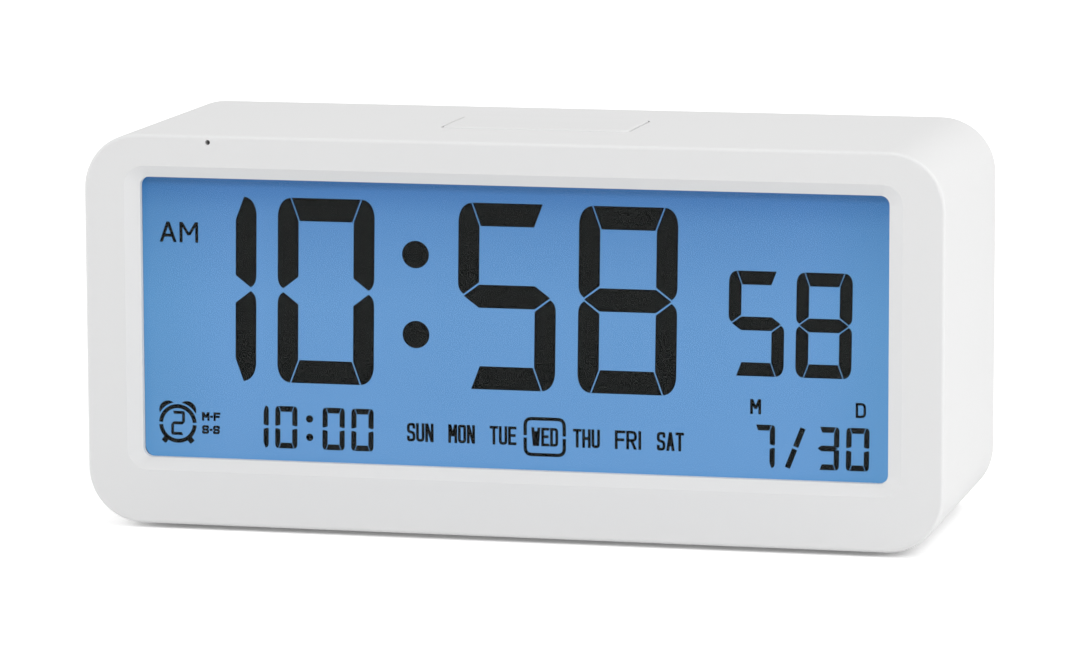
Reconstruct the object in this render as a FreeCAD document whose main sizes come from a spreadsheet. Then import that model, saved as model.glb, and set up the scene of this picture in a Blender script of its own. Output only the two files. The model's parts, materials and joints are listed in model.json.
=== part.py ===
import FreeCAD, Part
import math
import os
import re

import Sketcher
from FreeCAD import Vector

# Desk alarm clock with a wide backlit display, in millimetres.
# X runs left to right as seen from the front, Y from front to back, Z up.
# The origin lies under the middle of the case, on the plane its feet stand on.

# Driving sizes: alias, value and meaning.
SIZES = [
    ("CaseWidth", 140.0, "case, left to right"),
    ("CaseHeight", 63.3, "case, underside to top"),
    ("CaseDepth", 51.0, "case, front face to rear rim"),
    ("CaseCorner", 9.0, "corner radius of the case outline"),
    ("CaseWall", 2.0, "wall of the sleeve"),
    ("FrontWall", 2.4, "wall of the front frame"),
    ("EdgeSoftness", 0.6, "rounding of the front and rear outline edges"),
    ("SideMargin", 9.0, "front frame beside the window"),
    ("TopMargin", 7.0, "front frame above the window"),
    ("LowMargin", 10.7, "front frame below the window"),
    ("WindowCorner", 1.5, "corner radius of the window"),
    ("BevelAcross", 2.3, "bevel round the window, at its sides"),
    ("BevelUp", 1.9, "bevel round the window, above and below"),
    ("BevelDepth", 1.3, "depth of the bevel behind the front face"),
    ("SensorSide", 20.8, "light sensor from the left side of the case"),
    ("SensorDrop", 1.1, "light sensor below the top of the case"),
    ("SensorHole", 0.8, "bore of the light sensor hole"),
    ("SensorSkin", 0.6, "top wall left above the light sensor"),
    ("SensorGap", 0.25, "air round the light sensor"),
    ("SensorWidth", 3.0, "light sensor, left to right"),
    ("SensorLength", 4.0, "light sensor, front to back"),
    ("LeadSize", 0.5, "thickness of a component lead"),
    ("FootProud", 0.8, "foot below the case"),
    ("FootSink", 0.6, "foot sunk into the case"),
    ("FootDiameter", 8.0, "diameter of a foot"),
    ("FootSide", 14.0, "foot centre from the side of the case"),
    ("FootEnd", 8.5, "foot centre from the front or rear of the case"),
    ("LensMargin", 1.5, "lens beyond the window"),
    ("LensThickness", 1.2, "display lens"),
    ("TapeThickness", 0.2, "tape behind the front frame"),
    ("TapeInset", 0.5, "tape and gasket stand back from the window"),
    ("GasketThickness", 0.5, "foam gasket between lens and display"),
    ("GlassMargin", 1.0, "display glass beyond the window"),
    ("GlassThickness", 1.1, "one sheet of display glass"),
    ("ContactLedge", 3.0, "front glass below the rear glass"),
    ("FilmThickness", 0.2, "polarizer or reflector film"),
    ("FilmInset", 0.2, "film stands back from the glass edge"),
    ("DiffuserThickness", 0.3, "diffuser film"),
    ("GuideThickness", 3.0, "light guide"),
    ("LampWidth", 1.2, "backlight lamp, into the light guide"),
    ("LampHeight", 4.0, "backlight lamp, along the light guide edge"),
    ("LampRise", 2.6, "backlight lamp above the main board"),
    ("LampPitch", 15.0, "spacing of the backlight lamps"),
    ("LampGap", 0.2, "air round a backlight lamp"),
    ("HolderWall", 0.8, "wall of the display holder"),
    ("HolderGap", 0.2, "air between display and holder"),
    ("StripThickness", 2.2, "contact strip, underside to top"),
    ("BackGap", 0.2, "air between reflector and main board"),
    ("BoardThickness", 1.6, "main circuit board"),
    ("BoardGap", 0.5, "air between main board and case"),
    ("ChipX", 12.0, "controller chip from the case middle"),
    ("ChipDiameter", 15.0, "moulding over the controller chip"),
    ("ChipRise", 1.6, "moulding over the controller chip"),
    ("ChipEdge", 1.2, "rounding of the chip moulding"),
    ("CrystalX", -4.0, "quartz crystal from the case middle"),
    ("CrystalDiameter", 3.0, "quartz crystal can"),
    ("CrystalLength", 8.0, "quartz crystal can"),
    ("PartsX", -31.0, "middle of the small parts from the case middle"),
    ("PartLength", 3.2, "small surface part"),
    ("PartWidth", 1.6, "small surface part"),
    ("PartRise", 0.8, "small surface part"),
    ("PartPitchX", 6.0, "spacing of the small parts"),
    ("PartPitchZ", 5.0, "spacing of the small parts"),
    ("CapacitorX", 34.0, "capacitors from the case middle"),
    ("CapacitorDiameter", 5.0, "capacitor can"),
    ("CapacitorRise", 6.0, "capacitor can"),
    ("CapacitorPitch", 12.0, "spacing of the capacitors"),
    ("BossGap", 0.3, "air between board boss and display holder"),
    ("BossDiameter", 4.4, "board boss"),
    ("BossPitch", 28.0, "board bosses, low to high"),
    ("WebThickness", 1.6, "web between a boss and the wall"),
    ("PilotDiameter", 1.7, "pilot bore and shank of a small screw"),
    ("SmallHead", 3.4, "head of a small screw"),
    ("SmallHeadRise", 1.2, "head height of a small screw"),
    ("SmallScrewGrip", 4.0, "small screw beyond the board"),
    ("ScrewHoleGap", 0.25, "air round a screw in its clearance hole"),
    ("CoverInset", 1.0, "rear cover behind the rear rim"),
    ("CoverThickness", 2.2, "rear cover plate"),
    ("CoverGap", 0.15, "air round the rear cover"),
    ("RimWall", 1.0, "case wall left round the rear cover"),
    ("CaseBossDiameter", 6.0, "case screw boss"),
    ("CaseBossAir", 7.3, "air between main board and case screw boss"),
    ("CoverBossDiameter", 8.0, "screw well of the rear cover"),
    ("CoverBossLength", 4.3, "screw well inside the rear cover"),
    ("CaseShank", 2.4, "pilot bore and shank of a case screw"),
    ("CaseHead", 5.0, "head of a case screw"),
    ("CaseHeadRise", 1.6, "head height of a case screw"),
    ("CaseScrewSeat", 1.4, "rear cover left under a case screw head"),
    ("CaseScrewGrip", 9.0, "case screw in its boss"),
    ("CellDiameter", 10.5, "battery cell"),
    ("CellLength", 43.3, "battery cell without its nub"),
    ("NubDiameter", 3.8, "battery nub"),
    ("NubLength", 1.2, "battery nub"),
    ("CellGap", 0.8, "air between two battery cells"),
    ("CellFloorGap", 0.5, "air between cell and well floor"),
    ("CellDoorGap", 1.0, "air between cell and door"),
    ("WellAir", 0.4, "air round the row of cells"),
    ("WellWall", 1.2, "wall of the battery well"),
    ("WellMidX", -8.0, "middle of the battery well from the case middle"),
    ("DoorLow", 4.2, "lower edge of the battery door above the case underside"),
    ("ContactPlate", 0.3, "battery contact plate"),
    ("ContactWidth", 8.4, "battery contact plate"),
    ("SpringLength", 4.6, "battery spring, compressed"),
    ("SpringDiameter", 6.6, "battery spring at its base"),
    ("SpringTip", 3.6, "battery spring at its tip"),
    ("RibThickness", 0.5, "rib between two cells"),
    ("RibHeight", 4.0, "rib between two cells"),
    ("DoorLapX", 4.95, "battery door beyond the well, at its sides"),
    ("DoorLapZ", 1.85, "battery door beyond the well, above and below"),
    ("DoorThickness", 1.6, "battery door"),
    ("DoorCorner", 1.5, "corner radius of the battery door"),
    ("DoorGap", 0.2, "air round the battery door"),
    ("LedgeThickness", 1.4, "ledge under the battery door"),
    ("TabWidth", 6.0, "hinge tab of the battery door"),
    ("TabPitch", 36.0, "spacing of the hinge tabs"),
    ("TabReach", 1.5, "hinge tab below the door edge"),
    ("TabThickness", 1.0, "hinge tab"),
    ("TabRoot", 1.2, "hinge tab on the door"),
    ("TabGap", 0.2, "air between tab and cover"),
    ("LatchWidth", 10.0, "latch tongue of the battery door"),
    ("LatchHeight", 8.0, "latch tongue of the battery door"),
    ("LatchSlot", 0.8, "slot beside the latch tongue"),
    ("GripDrop", 3.6, "middle grip groove below the door's upper edge"),
    ("GripPitch", 1.6, "spacing of the grip grooves"),
    ("GripWidth", 0.6, "grip groove"),
    ("GripDepth", 0.5, "grip groove"),
    ("ScoopWidth", 12.0, "finger scoop above the battery door"),
    ("ScoopHeight", 2.4, "finger scoop above the battery door"),
    ("ScoopDepth", 1.1, "finger scoop above the battery door"),
    ("KeyWidth", 8.4, "rear key"),
    ("KeyHeight", 4.6, "rear key"),
    ("KeyCorner", 1.2, "corner radius of a rear key"),
    ("KeyProud", 0.8, "rear key behind the rear cover"),
    ("KeysMidX", -8.0, "middle of the rear keys from the case middle"),
    ("KeysDrop", 13.1, "rear keys below the top of the case"),
    ("KeyGap", 0.25, "air round a key in its opening"),
    ("KeySoftness", 0.4, "rounding of a key edge"),
    ("FlangeMargin", 0.8, "key flange beyond the key"),
    ("FlangeThickness", 1.0, "key flange"),
    ("FlangeGap", 0.1, "air between key flange and wall"),
    ("KeyPin", 0.5, "pin under a rear key"),
    ("PinDiameter", 3.0, "pin under a key"),
    ("SwitchSize", 6.0, "push switch, square"),
    ("SwitchHeight", 3.5, "push switch body"),
    ("PlungerDiameter", 3.4, "push switch plunger"),
    ("PlungerRise", 1.2, "plunger above its switch"),
    ("PlungerSink", 0.8, "plunger inside its switch"),
    ("PlungerGap", 0.1, "air round a plunger"),
    ("PlungerRoom", 1.1, "room under a plunger"),
    ("SmallBoard", 1.2, "small circuit board"),
    ("BoardCorner", 1.0, "corner radius of a small board"),
    ("KeyBoardHeight", 8.0, "key board, low to high"),
    ("KeyBoardEnd", 6.0, "key board beyond its last part"),
    ("PostDiameter", 4.0, "post that carries a small board"),
    ("PostGap", 0.5, "air between a post and a key flange"),
    ("SnoozeWidth", 30.8, "snooze key, left to right"),
    ("SnoozeLength", 17.0, "snooze key, front to back"),
    ("SnoozeBack", 18.5, "snooze key behind the front face"),
    ("SnoozeCorner", 1.5, "corner radius of the snooze key"),
    ("SnoozeProud", 0.2, "snooze key above the case"),
    ("SnoozeGap", 0.3, "air round the snooze key"),
    ("SnoozePin", 1.2, "pin under the snooze key"),
    ("SnoozeBoardEnd", 3.0, "snooze board beyond its posts' middles"),
    ("SnoozeBoardLength", 8.0, "snooze board, front to back"),
    ("LightSwitchX", 39.0, "light switch from the case middle"),
    ("LightBodyWidth", 9.0, "light switch body"),
    ("LightBodyHeight", 4.6, "light switch body"),
    ("LightBodyRise", 4.0, "light switch body above its board"),
    ("LightTravel", 3.0, "travel of the light switch"),
    ("LightStem", 2.0, "stem of the light switch slider"),
    ("LightStemSink", 1.2, "stem inside the light switch body"),
    ("LightKnobWidth", 3.4, "knob of the light switch slider"),
    ("LightKnobHeight", 3.0, "knob of the light switch slider"),
    ("LightKnobProud", 0.7, "knob behind the rear cover"),
    ("LightKnobCorner", 0.5, "corner radius of the knob"),
    ("KnobGroove", 0.4, "groove across the knob"),
    ("KnobGroovePitch", 0.9, "spacing of the knob grooves"),
    ("KnobGrooveDepth", 0.35, "groove across the knob"),
    ("LightGap", 0.25, "air round the light switch slider"),
    ("BuzzerX", 41.0, "buzzer from the case middle"),
    ("BuzzerZ", 26.2, "buzzer above the case underside"),
    ("BuzzerDiameter", 20.0, "buzzer disc"),
    ("BuzzerThickness", 0.3, "buzzer disc"),
    ("CeramicDiameter", 14.0, "ceramic layer of the buzzer"),
    ("CeramicThickness", 0.2, "ceramic layer of the buzzer"),
    ("BuzzerSeat", 1.0, "seat under the rim of the buzzer disc"),
    ("BuzzerGap", 0.2, "air round the buzzer disc"),
    ("BuzzerRing", 1.2, "wall round the buzzer"),
    ("BuzzerStand", 2.0, "buzzer disc in front of the rear cover"),
    ("BuzzerRim", 1.2, "ring in front of the buzzer disc"),
    ("SoundHole", 1.5, "bore of a sound hole"),
    ("SoundPitch", 3.2, "spacing of the sound holes"),
    ("WireDiameter", 1.1, "insulated wire"),
    ("WirePitch", 4.0, "spacing of two wires of a pair"),
    ("WireStandOff", 5.0, "battery wire beside the battery well"),
    ("BuzzerWireShift", 9.0, "buzzer wires, sideways at the main board"),
    ("BuzzerWireDrop", 3.0, "buzzer wires, lower at the main board"),
    ("SnoozeWireX", 10.0, "snooze wires from the case middle"),
    ("SnoozeWireDrop", 8.0, "snooze wires below their board"),
    ("RibbonWidth", 9.0, "ribbon cable"),
    ("RibbonThickness", 0.8, "ribbon cable"),
]

KEY_NAMES = ["mode_key", "set_key", "up_key", "down_key", "alarm_key"]
CELL_NAMES = ["battery_cell_top", "battery_cell_middle", "battery_cell_low"]

# Places and sizes worked out from the sheet, as formulas.
FRONT = "(-CaseDepth / 2)"
CASE_LOW = "FootProud"
CASE_TOP = "(FootProud + CaseHeight)"
CASE_MID = "(FootProud + CaseHeight / 2)"
INNER_WIDTH = "(CaseWidth - 2 * CaseWall)"
INNER_HEIGHT = "(CaseHeight - 2 * CaseWall)"
INNER_CORNER = "(CaseCorner - CaseWall)"
INNER_TOP = "(FootProud + CaseHeight - CaseWall)"
FRAME_BACK = "(-CaseDepth / 2 + FrontWall)"

WINDOW_WIDTH = "(CaseWidth - 2 * SideMargin)"
WINDOW_HEIGHT = "(CaseHeight - TopMargin - LowMargin)"
WINDOW_MID = "(FootProud + (CaseHeight - TopMargin + LowMargin) / 2)"

LENS_FRONT = f"({FRAME_BACK} + TapeThickness)"
LENS_BACK = f"({LENS_FRONT} + LensThickness)"
DISPLAY_FRONT = f"({LENS_BACK} + GasketThickness)"
FRONT_GLASS = f"({DISPLAY_FRONT} + FilmThickness)"
REAR_GLASS = f"({FRONT_GLASS} + GlassThickness)"
REAR_FILM = f"({REAR_GLASS} + GlassThickness)"
DIFFUSER = f"({REAR_FILM} + FilmThickness)"
GUIDE = f"({DIFFUSER} + DiffuserThickness)"
REFLECTOR = f"({GUIDE} + GuideThickness)"
BOARD_FRONT = f"({REFLECTOR} + FilmThickness + BackGap)"
BOARD_BACK = f"({BOARD_FRONT} + BoardThickness)"
GLASS_WIDTH = f"({WINDOW_WIDTH} + 2 * GlassMargin)"
GLASS_HEIGHT = f"({WINDOW_HEIGHT} + 2 * GlassMargin)"
HOLDER_WIDTH = f"({GLASS_WIDTH} + 2 * HolderGap + 2 * HolderWall)"
BOSS_X = f"({HOLDER_WIDTH} / 2 + BossGap + BossDiameter / 2)"

COVER_BACK = "(CaseDepth / 2 - CoverInset)"
COVER_FRONT = "(CaseDepth / 2 - CoverInset - CoverThickness)"
SEAT_WIDTH = "(CaseWidth - 2 * RimWall)"
SEAT_HEIGHT = "(CaseHeight - 2 * RimWall)"
SEAT_CORNER = "(CaseCorner - RimWall)"
CORNER_X = "(CaseWidth / 2 - CaseCorner)"
CORNER_UP = "(CaseHeight / 2 - CaseCorner)"
CASE_BOSS_BACK = f"({COVER_FRONT} - CoverBossLength)"

DOOR_FRONT = f"({COVER_BACK} - DoorThickness)"
CELL_PITCH = "(CellDiameter + CellGap)"
WELL_DEPTH = "(CellFloorGap + CellDiameter + CellDoorGap)"
WELL_FLOOR = f"({DOOR_FRONT} - {WELL_DEPTH})"
WELL_WIDTH = "(CellLength + NubLength + SpringLength + 2 * ContactPlate + WellAir)"
WELL_HEIGHT = f"(3 * {CELL_PITCH} + WellAir)"
DOOR_WIDTH = f"({WELL_WIDTH} + 2 * DoorLapX)"
DOOR_HEIGHT = f"({WELL_HEIGHT} + 2 * DoorLapZ)"
DOOR_LOW = "(FootProud + DoorLow)"
DOOR_HIGH = f"({DOOR_LOW} + {DOOR_HEIGHT})"
WELL_MID = f"({DOOR_LOW} + {DOOR_HEIGHT} / 2)"
CELL_Y = f"({WELL_FLOOR} + CellFloorGap + CellDiameter / 2)"

KEY_PITCH = "(KeyWidth + 2 * FlangeMargin + PostDiameter + 2 * PostGap)"
SWITCH_STACK = "(SwitchHeight + PlungerRise)"
KEYS_Z = "(FootProud + CaseHeight - KeysDrop)"
FLANGE_BACK = f"({COVER_FRONT} - FlangeGap)"
FLANGE_FRONT = f"({FLANGE_BACK} - FlangeThickness)"
KEY_BOARD_BACK = f"({FLANGE_FRONT} - KeyPin - {SWITCH_STACK})"
SNOOZE_POST = "(SnoozeWidth / 2 + FlangeMargin + PostGap + PostDiameter / 2)"
SNOOZE_Y = f"({FRONT} + SnoozeBack + SnoozeLength / 2)"
SNOOZE_FLANGE = f"({INNER_TOP} - FlangeGap - FlangeThickness)"
SNOOZE_BOARD_TOP = f"({SNOOZE_FLANGE} - SnoozePin - {SWITCH_STACK})"
BUZZER_Z = "(FootProud + BuzzerZ)"
DISC_BACK = f"({COVER_FRONT} - BuzzerStand)"
LEAD_Z = f"({INNER_TOP} - BoardGap - 2 * LeadSize)"

doc = FreeCAD.newDocument("desk_alarm_clock")
sheet = doc.addObject("Spreadsheet::Sheet", "Sizes")
for row, (alias, value, meaning) in enumerate(SIZES, start=1):
    sheet.set(f"A{row}", meaning)
    sheet.set(f"B{row}", str(value))
    sheet.setAlias(f"B{row}", alias)
doc.recompute()
nodes = []


def formula(text):
    """The text with each sheet alias written as a reference to the sheet."""
    return re.sub(r"[A-Z][A-Za-z]+", lambda word: "Sizes." + word.group(), str(text))


def number(text):
    """The present value of a formula."""
    return float(sheet.evalExpression(formula(text)))


def new_body(label):
    """An empty body that becomes one node."""
    body = doc.addObject("PartDesign::Body", label)
    body.Label = label
    nodes.append(body)
    return body


def place(body, x=None, y=None, z=None):
    """Move a body that was drawn about its own origin to its place."""
    for axis, text in (("x", x), ("y", y), ("z", z)):
        if text is not None:
            body.setExpression("Placement.Base." + axis, formula(text))


def bind(sketch, constraint, text):
    """Add a constraint whose size follows a formula."""
    index = sketch.addConstraint(constraint)
    name = f"Size{index}"
    sketch.renameConstraint(index, name)
    sketch.setExpression("Constraints." + name, formula(text))


def circle(across, up, diameter):
    """A circle about a centre."""
    def draw(sketch):
        centre = Vector(number(across), number(up), 0)
        ring = sketch.addGeometry(Part.Circle(centre, Vector(0, 0, 1), number(diameter) / 2), False)
        bind(sketch, Sketcher.Constraint("Diameter", ring, number(diameter)), diameter)
        bind(sketch, Sketcher.Constraint("DistanceX", -1, 1, ring, 3, centre.x), across)
        bind(sketch, Sketcher.Constraint("DistanceY", -1, 1, ring, 3, centre.y), up)
    return draw


def place_frame(sketch, first, third, across, up, width, height):
    """Bind the left, low, right and high lines of a rectangle."""
    left = number(f"{across} - ({width}) / 2")
    low = number(f"{up} - ({height}) / 2")
    wide = number(width)
    tall = number(height)
    side = Sketcher.Constraint("DistanceX", -1, 1, third[1], 2, left)
    base = Sketcher.Constraint("DistanceY", -1, 1, first[0], 1, low)
    bind(sketch, side, f"{across} - ({width}) / 2")
    bind(sketch, base, f"{up} - ({height}) / 2")
    bind(sketch, Sketcher.Constraint("DistanceX", third[1], 2, first[1], 1, wide), width)
    bind(sketch, Sketcher.Constraint("DistanceY", first[0], 1, third[0], 1, tall), height)


def edges_of(points):
    """Closed straight lines through the points."""
    ends = points[1:] + points[:1]
    return [Part.LineSegment(start, end) for start, end in zip(points, ends)]


def rectangle(across, up, width, height):
    """A rectangle about a centre."""
    def draw(sketch):
        x = number(across)
        y = number(up)
        half_x = number(width) / 2
        half_y = number(height) / 2
        corners = [(-half_x, -half_y), (half_x, -half_y), (half_x, half_y), (-half_x, half_y)]
        points = [Vector(x + dx, y + dy, 0) for dx, dy in corners]
        lines = list(sketch.addGeometry(edges_of(points), False))
        for line, following in zip(lines, lines[1:] + lines[:1]):
            sketch.addConstraint(Sketcher.Constraint("Coincident", line, 2, following, 1))
        for line, way in zip(lines, ("Horizontal", "Vertical", "Horizontal", "Vertical")):
            sketch.addConstraint(Sketcher.Constraint(way, line))
        place_frame(sketch, (lines[0], lines[1]), (lines[2], lines[3]), across, up, width, height)
    return draw


def rounded(across, up, width, height, corner):
    """A rectangle about a centre, with rounded corners."""
    def draw(sketch):
        radius = number(corner)
        x = number(across)
        y = number(up)
        flat_x = number(width) / 2 - radius
        flat_y = number(height) / 2 - radius
        centres = [(flat_x, -flat_y), (flat_x, flat_y), (-flat_x, flat_y), (-flat_x, -flat_y)]
        geometry = []
        for quarter, (dx, dy) in enumerate(centres):
            start_angle = (quarter - 1) * math.pi / 2
            centre = Vector(x + dx, y + dy, 0)
            ring = Part.Circle(centre, Vector(0, 0, 1), radius)
            geometry.append(Part.ArcOfCircle(ring, start_angle, start_angle + math.pi / 2))
        arcs = list(geometry)
        sides = []
        for quarter in range(4):
            before = arcs[quarter - 1].EndPoint
            sides.append(Part.LineSegment(before, arcs[quarter].StartPoint))
        ordered = []
        for side, arc in zip(sides, arcs):
            ordered += [side, arc]
        shapes = list(sketch.addGeometry(ordered, False))
        for shape, following in zip(shapes, shapes[1:] + shapes[:1]):
            sketch.addConstraint(Sketcher.Constraint("Tangent", shape, 2, following, 1))
        lines = shapes[0::2]
        rings = shapes[1::2]
        for line, way in zip(lines, ("Horizontal", "Vertical", "Horizontal", "Vertical")):
            sketch.addConstraint(Sketcher.Constraint(way, line))
        for ring, following in zip(rings, rings[1:]):
            sketch.addConstraint(Sketcher.Constraint("Equal", ring, following))
        bind(sketch, Sketcher.Constraint("Radius", rings[0], radius), corner)
        place_frame(sketch, (lines[0], lines[1]), (lines[2], lines[3]), across, up, width, height)
    return draw


def new_sketch(body, name, plane, start, shapes):
    """A sketch parallel to an origin plane, at a distance along that plane's axis."""
    sketch = body.newObject("Sketcher::SketchObject", body.Name + name + "Sketch")
    role = plane + "_Plane"
    support = [item for item in body.Origin.OriginFeatures if item.Role == role][0]
    sketch.AttachmentSupport = (support, [""])
    sketch.MapMode = "FlatFace"
    sign = "-" if plane == "XZ" else ""
    sketch.setExpression("AttachmentOffset.Base.z", formula(f"{sign}({start})"))
    for draw in shapes:
        draw(sketch)
    return sketch


def volume_of(body):
    """The volume made so far, which is nothing in a new body."""
    if body.Tip is None or body.Tip.isDerivedFrom("Sketcher::SketchObject"):
        return 0.0
    return body.Tip.Shape.Volume


def extrude(body, name, plane, start, length, shapes, cut=False):
    """Add or cut a prism from start along the plane's positive axis."""
    before = volume_of(body)
    sketch = new_sketch(body, name, plane, start, shapes)
    kind = "PartDesign::Pocket" if cut else "PartDesign::Pad"
    feature = body.newObject(kind, body.Name + name)
    feature.Profile = sketch
    feature.Reversed = (plane == "XZ") != cut
    feature.setExpression("Length", formula(length))
    doc.recompute()
    gained = feature.Shape.Volume - before
    if (gained < 0) != cut or abs(gained) < 1e-4:
        raise RuntimeError(f"{feature.Name} changes nothing")
    return feature


def cut(body, name, plane, start, length, shapes):
    """Cut a prism from start along the plane's positive axis."""
    return extrude(body, name, plane, start, length, shapes, cut=True)


def soften(body, name, radius, axis, level):
    """Round every edge that lies whole in the plane where the axis equals the level."""
    base = body.Tip
    height = number(level)
    edges = []
    for index, edge in enumerate(base.Shape.Edges, start=1):
        box = edge.BoundBox
        low = getattr(box, axis + "Min")
        high = getattr(box, axis + "Max")
        if abs(low - height) < 1e-4 and abs(high - height) < 1e-4:
            edges.append(f"Edge{index}")
    fillet = body.newObject("PartDesign::Fillet", body.Name + name)
    fillet.Base = (base, edges)
    fillet.setExpression("Radius", formula(radius))
    doc.recompute()
    return fillet


def four(shape, across, up, middle, *sizes):
    """Four like shapes, mirrored left to right and about a middle height."""
    return [
        shape(f"{side} * ({across})", f"{middle} + {level} * ({up})", *sizes)
        for side in (-1, 1)
        for level in (-1, 1)
    ]


def window_frame(margin_x, margin_z, corner):
    """The window's outline grown by a margin."""
    width = f"({WINDOW_WIDTH} + 2 * ({margin_x}))"
    height = f"({WINDOW_HEIGHT} + 2 * ({margin_z}))"
    return rounded("0", WINDOW_MID, width, height, corner)


def hollow_case(body):
    """The sleeve, its seat for the rear cover and the bevelled window."""
    outline = rounded("0", CASE_MID, "CaseWidth", "CaseHeight", "CaseCorner")
    extrude(body, "Block", "XZ", FRONT, "CaseDepth", [outline])
    soften(body, "FrontEdge", "EdgeSoftness", "Y", FRONT)
    soften(body, "RearEdge", "EdgeSoftness", "Y", "CaseDepth / 2")
    inside = rounded("0", CASE_MID, INNER_WIDTH, INNER_HEIGHT, INNER_CORNER)
    cut(body, "Hollow", "XZ", FRAME_BACK, "CaseDepth - FrontWall", [inside])
    seat = rounded("0", CASE_MID, SEAT_WIDTH, SEAT_HEIGHT, SEAT_CORNER)
    cut(body, "Seat", "XZ", COVER_FRONT, "CoverThickness + CoverInset", [seat])
    wide = new_sketch(body, "BevelWide", "XZ", FRONT, [
        window_frame("BevelAcross", "BevelUp", "WindowCorner + BevelUp")])
    narrow = new_sketch(body, "BevelNarrow", "XZ", f"{FRONT} + BevelDepth", [
        window_frame("0", "0", "WindowCorner")])
    bevel = body.newObject("PartDesign::SubtractiveLoft", body.Name + "Bevel")
    bevel.Profile = wide
    bevel.Sections = [narrow]
    bevel.Ruled = True
    doc.recompute()
    cut(body, "Window", "XZ", FRONT, "FrontWall", [window_frame("0", "0", "WindowCorner")])


def case_bosses(body):
    """Screw bosses for the main board and the rear cover, with their webs."""
    length = f"{BOARD_FRONT} - {FRAME_BACK}"
    bosses = four(circle, BOSS_X, "BossPitch / 2", WINDOW_MID, "BossDiameter")
    extrude(body, "BoardBosses", "XZ", FRAME_BACK, length, bosses)
    wall_x = "(CaseWidth - CaseWall) / 2"
    web_start = f"({BOSS_X} + PilotDiameter / 2)"
    webs = four(rectangle, f"({web_start} + {wall_x}) / 2", "BossPitch / 2", WINDOW_MID,
                f"{wall_x} - {web_start}", "WebThickness")
    extrude(body, "BoardWebs", "XZ", FRAME_BACK, length, webs)
    pilots = four(circle, BOSS_X, "BossPitch / 2", WINDOW_MID, "PilotDiameter")
    pilot_depth = "SmallScrewGrip + 1"
    cut(body, "BoardPilots", "XZ", f"{BOARD_FRONT} - ({pilot_depth})", pilot_depth, pilots)
    start = f"({BOARD_BACK} + CaseBossAir)"
    length = f"{CASE_BOSS_BACK} - {start}"
    posts = four(circle, CORNER_X, CORNER_UP, CASE_MID, "CaseBossDiameter")
    extrude(body, "CoverBosses", "XZ", start, length, posts)
    reach = "CaseCorner - CaseWall / 2"
    side_webs = four(rectangle, f"{CORNER_X} + ({reach}) / 2", CORNER_UP, CASE_MID, reach, "WebThickness")
    extrude(body, "CoverSideWebs", "XZ", start, length, side_webs)
    end_webs = four(rectangle, CORNER_X, f"{CORNER_UP} + ({reach}) / 2", CASE_MID, "WebThickness", reach)
    extrude(body, "CoverEndWebs", "XZ", start, length, end_webs)
    bores = four(circle, CORNER_X, CORNER_UP, CASE_MID, "CaseShank")
    bore_depth = "CaseScrewGrip + 1"
    cut(body, "CoverPilots", "XZ", f"{CASE_BOSS_BACK} - ({bore_depth})", bore_depth, bores)


def front_case():
    """Sleeve and front frame in one moulding."""
    body = new_body("front_case")
    hollow_case(body)
    case_bosses(body)
    opening = rounded("0", SNOOZE_Y, "SnoozeWidth + 2 * SnoozeGap", "SnoozeLength + 2 * SnoozeGap",
                      "SnoozeCorner + SnoozeGap")
    cut(body, "SnoozeOpening", "XY", INNER_TOP, "CaseWall", [opening])
    post_length = f"{INNER_TOP} + CaseWall / 2 - {SNOOZE_BOARD_TOP}"
    posts = [circle(f"{side} * {SNOOZE_POST}", SNOOZE_Y, "PostDiameter") for side in (-1, 1)]
    extrude(body, "SnoozePosts", "XY", SNOOZE_BOARD_TOP, post_length, posts)
    bores = [circle(f"{side} * {SNOOZE_POST}", SNOOZE_Y, "PilotDiameter") for side in (-1, 1)]
    cut(body, "SnoozePilots", "XY", SNOOZE_BOARD_TOP, "SmallScrewGrip + 1", bores)
    seats = four(circle, "CaseWidth / 2 - FootSide", "CaseDepth / 2 - FootEnd", "0", "FootDiameter")
    cut(body, "FootSeats", "XY", CASE_LOW, "FootSink", seats)
    sensor_x = "-CaseWidth / 2 + SensorSide"
    pocket = rectangle(sensor_x, f"{FRAME_BACK} + SensorLength / 2",
                       "SensorWidth + 2 * SensorGap", "SensorLength")
    cut(body, "SensorPocket", "XY", INNER_TOP, "CaseWall - SensorSkin", [pocket])
    pinhole = circle(sensor_x, f"{CASE_TOP} - SensorDrop", "SensorHole")
    cut(body, "SensorHoleCut", "XZ", FRONT, "FrontWall", [pinhole])


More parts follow.
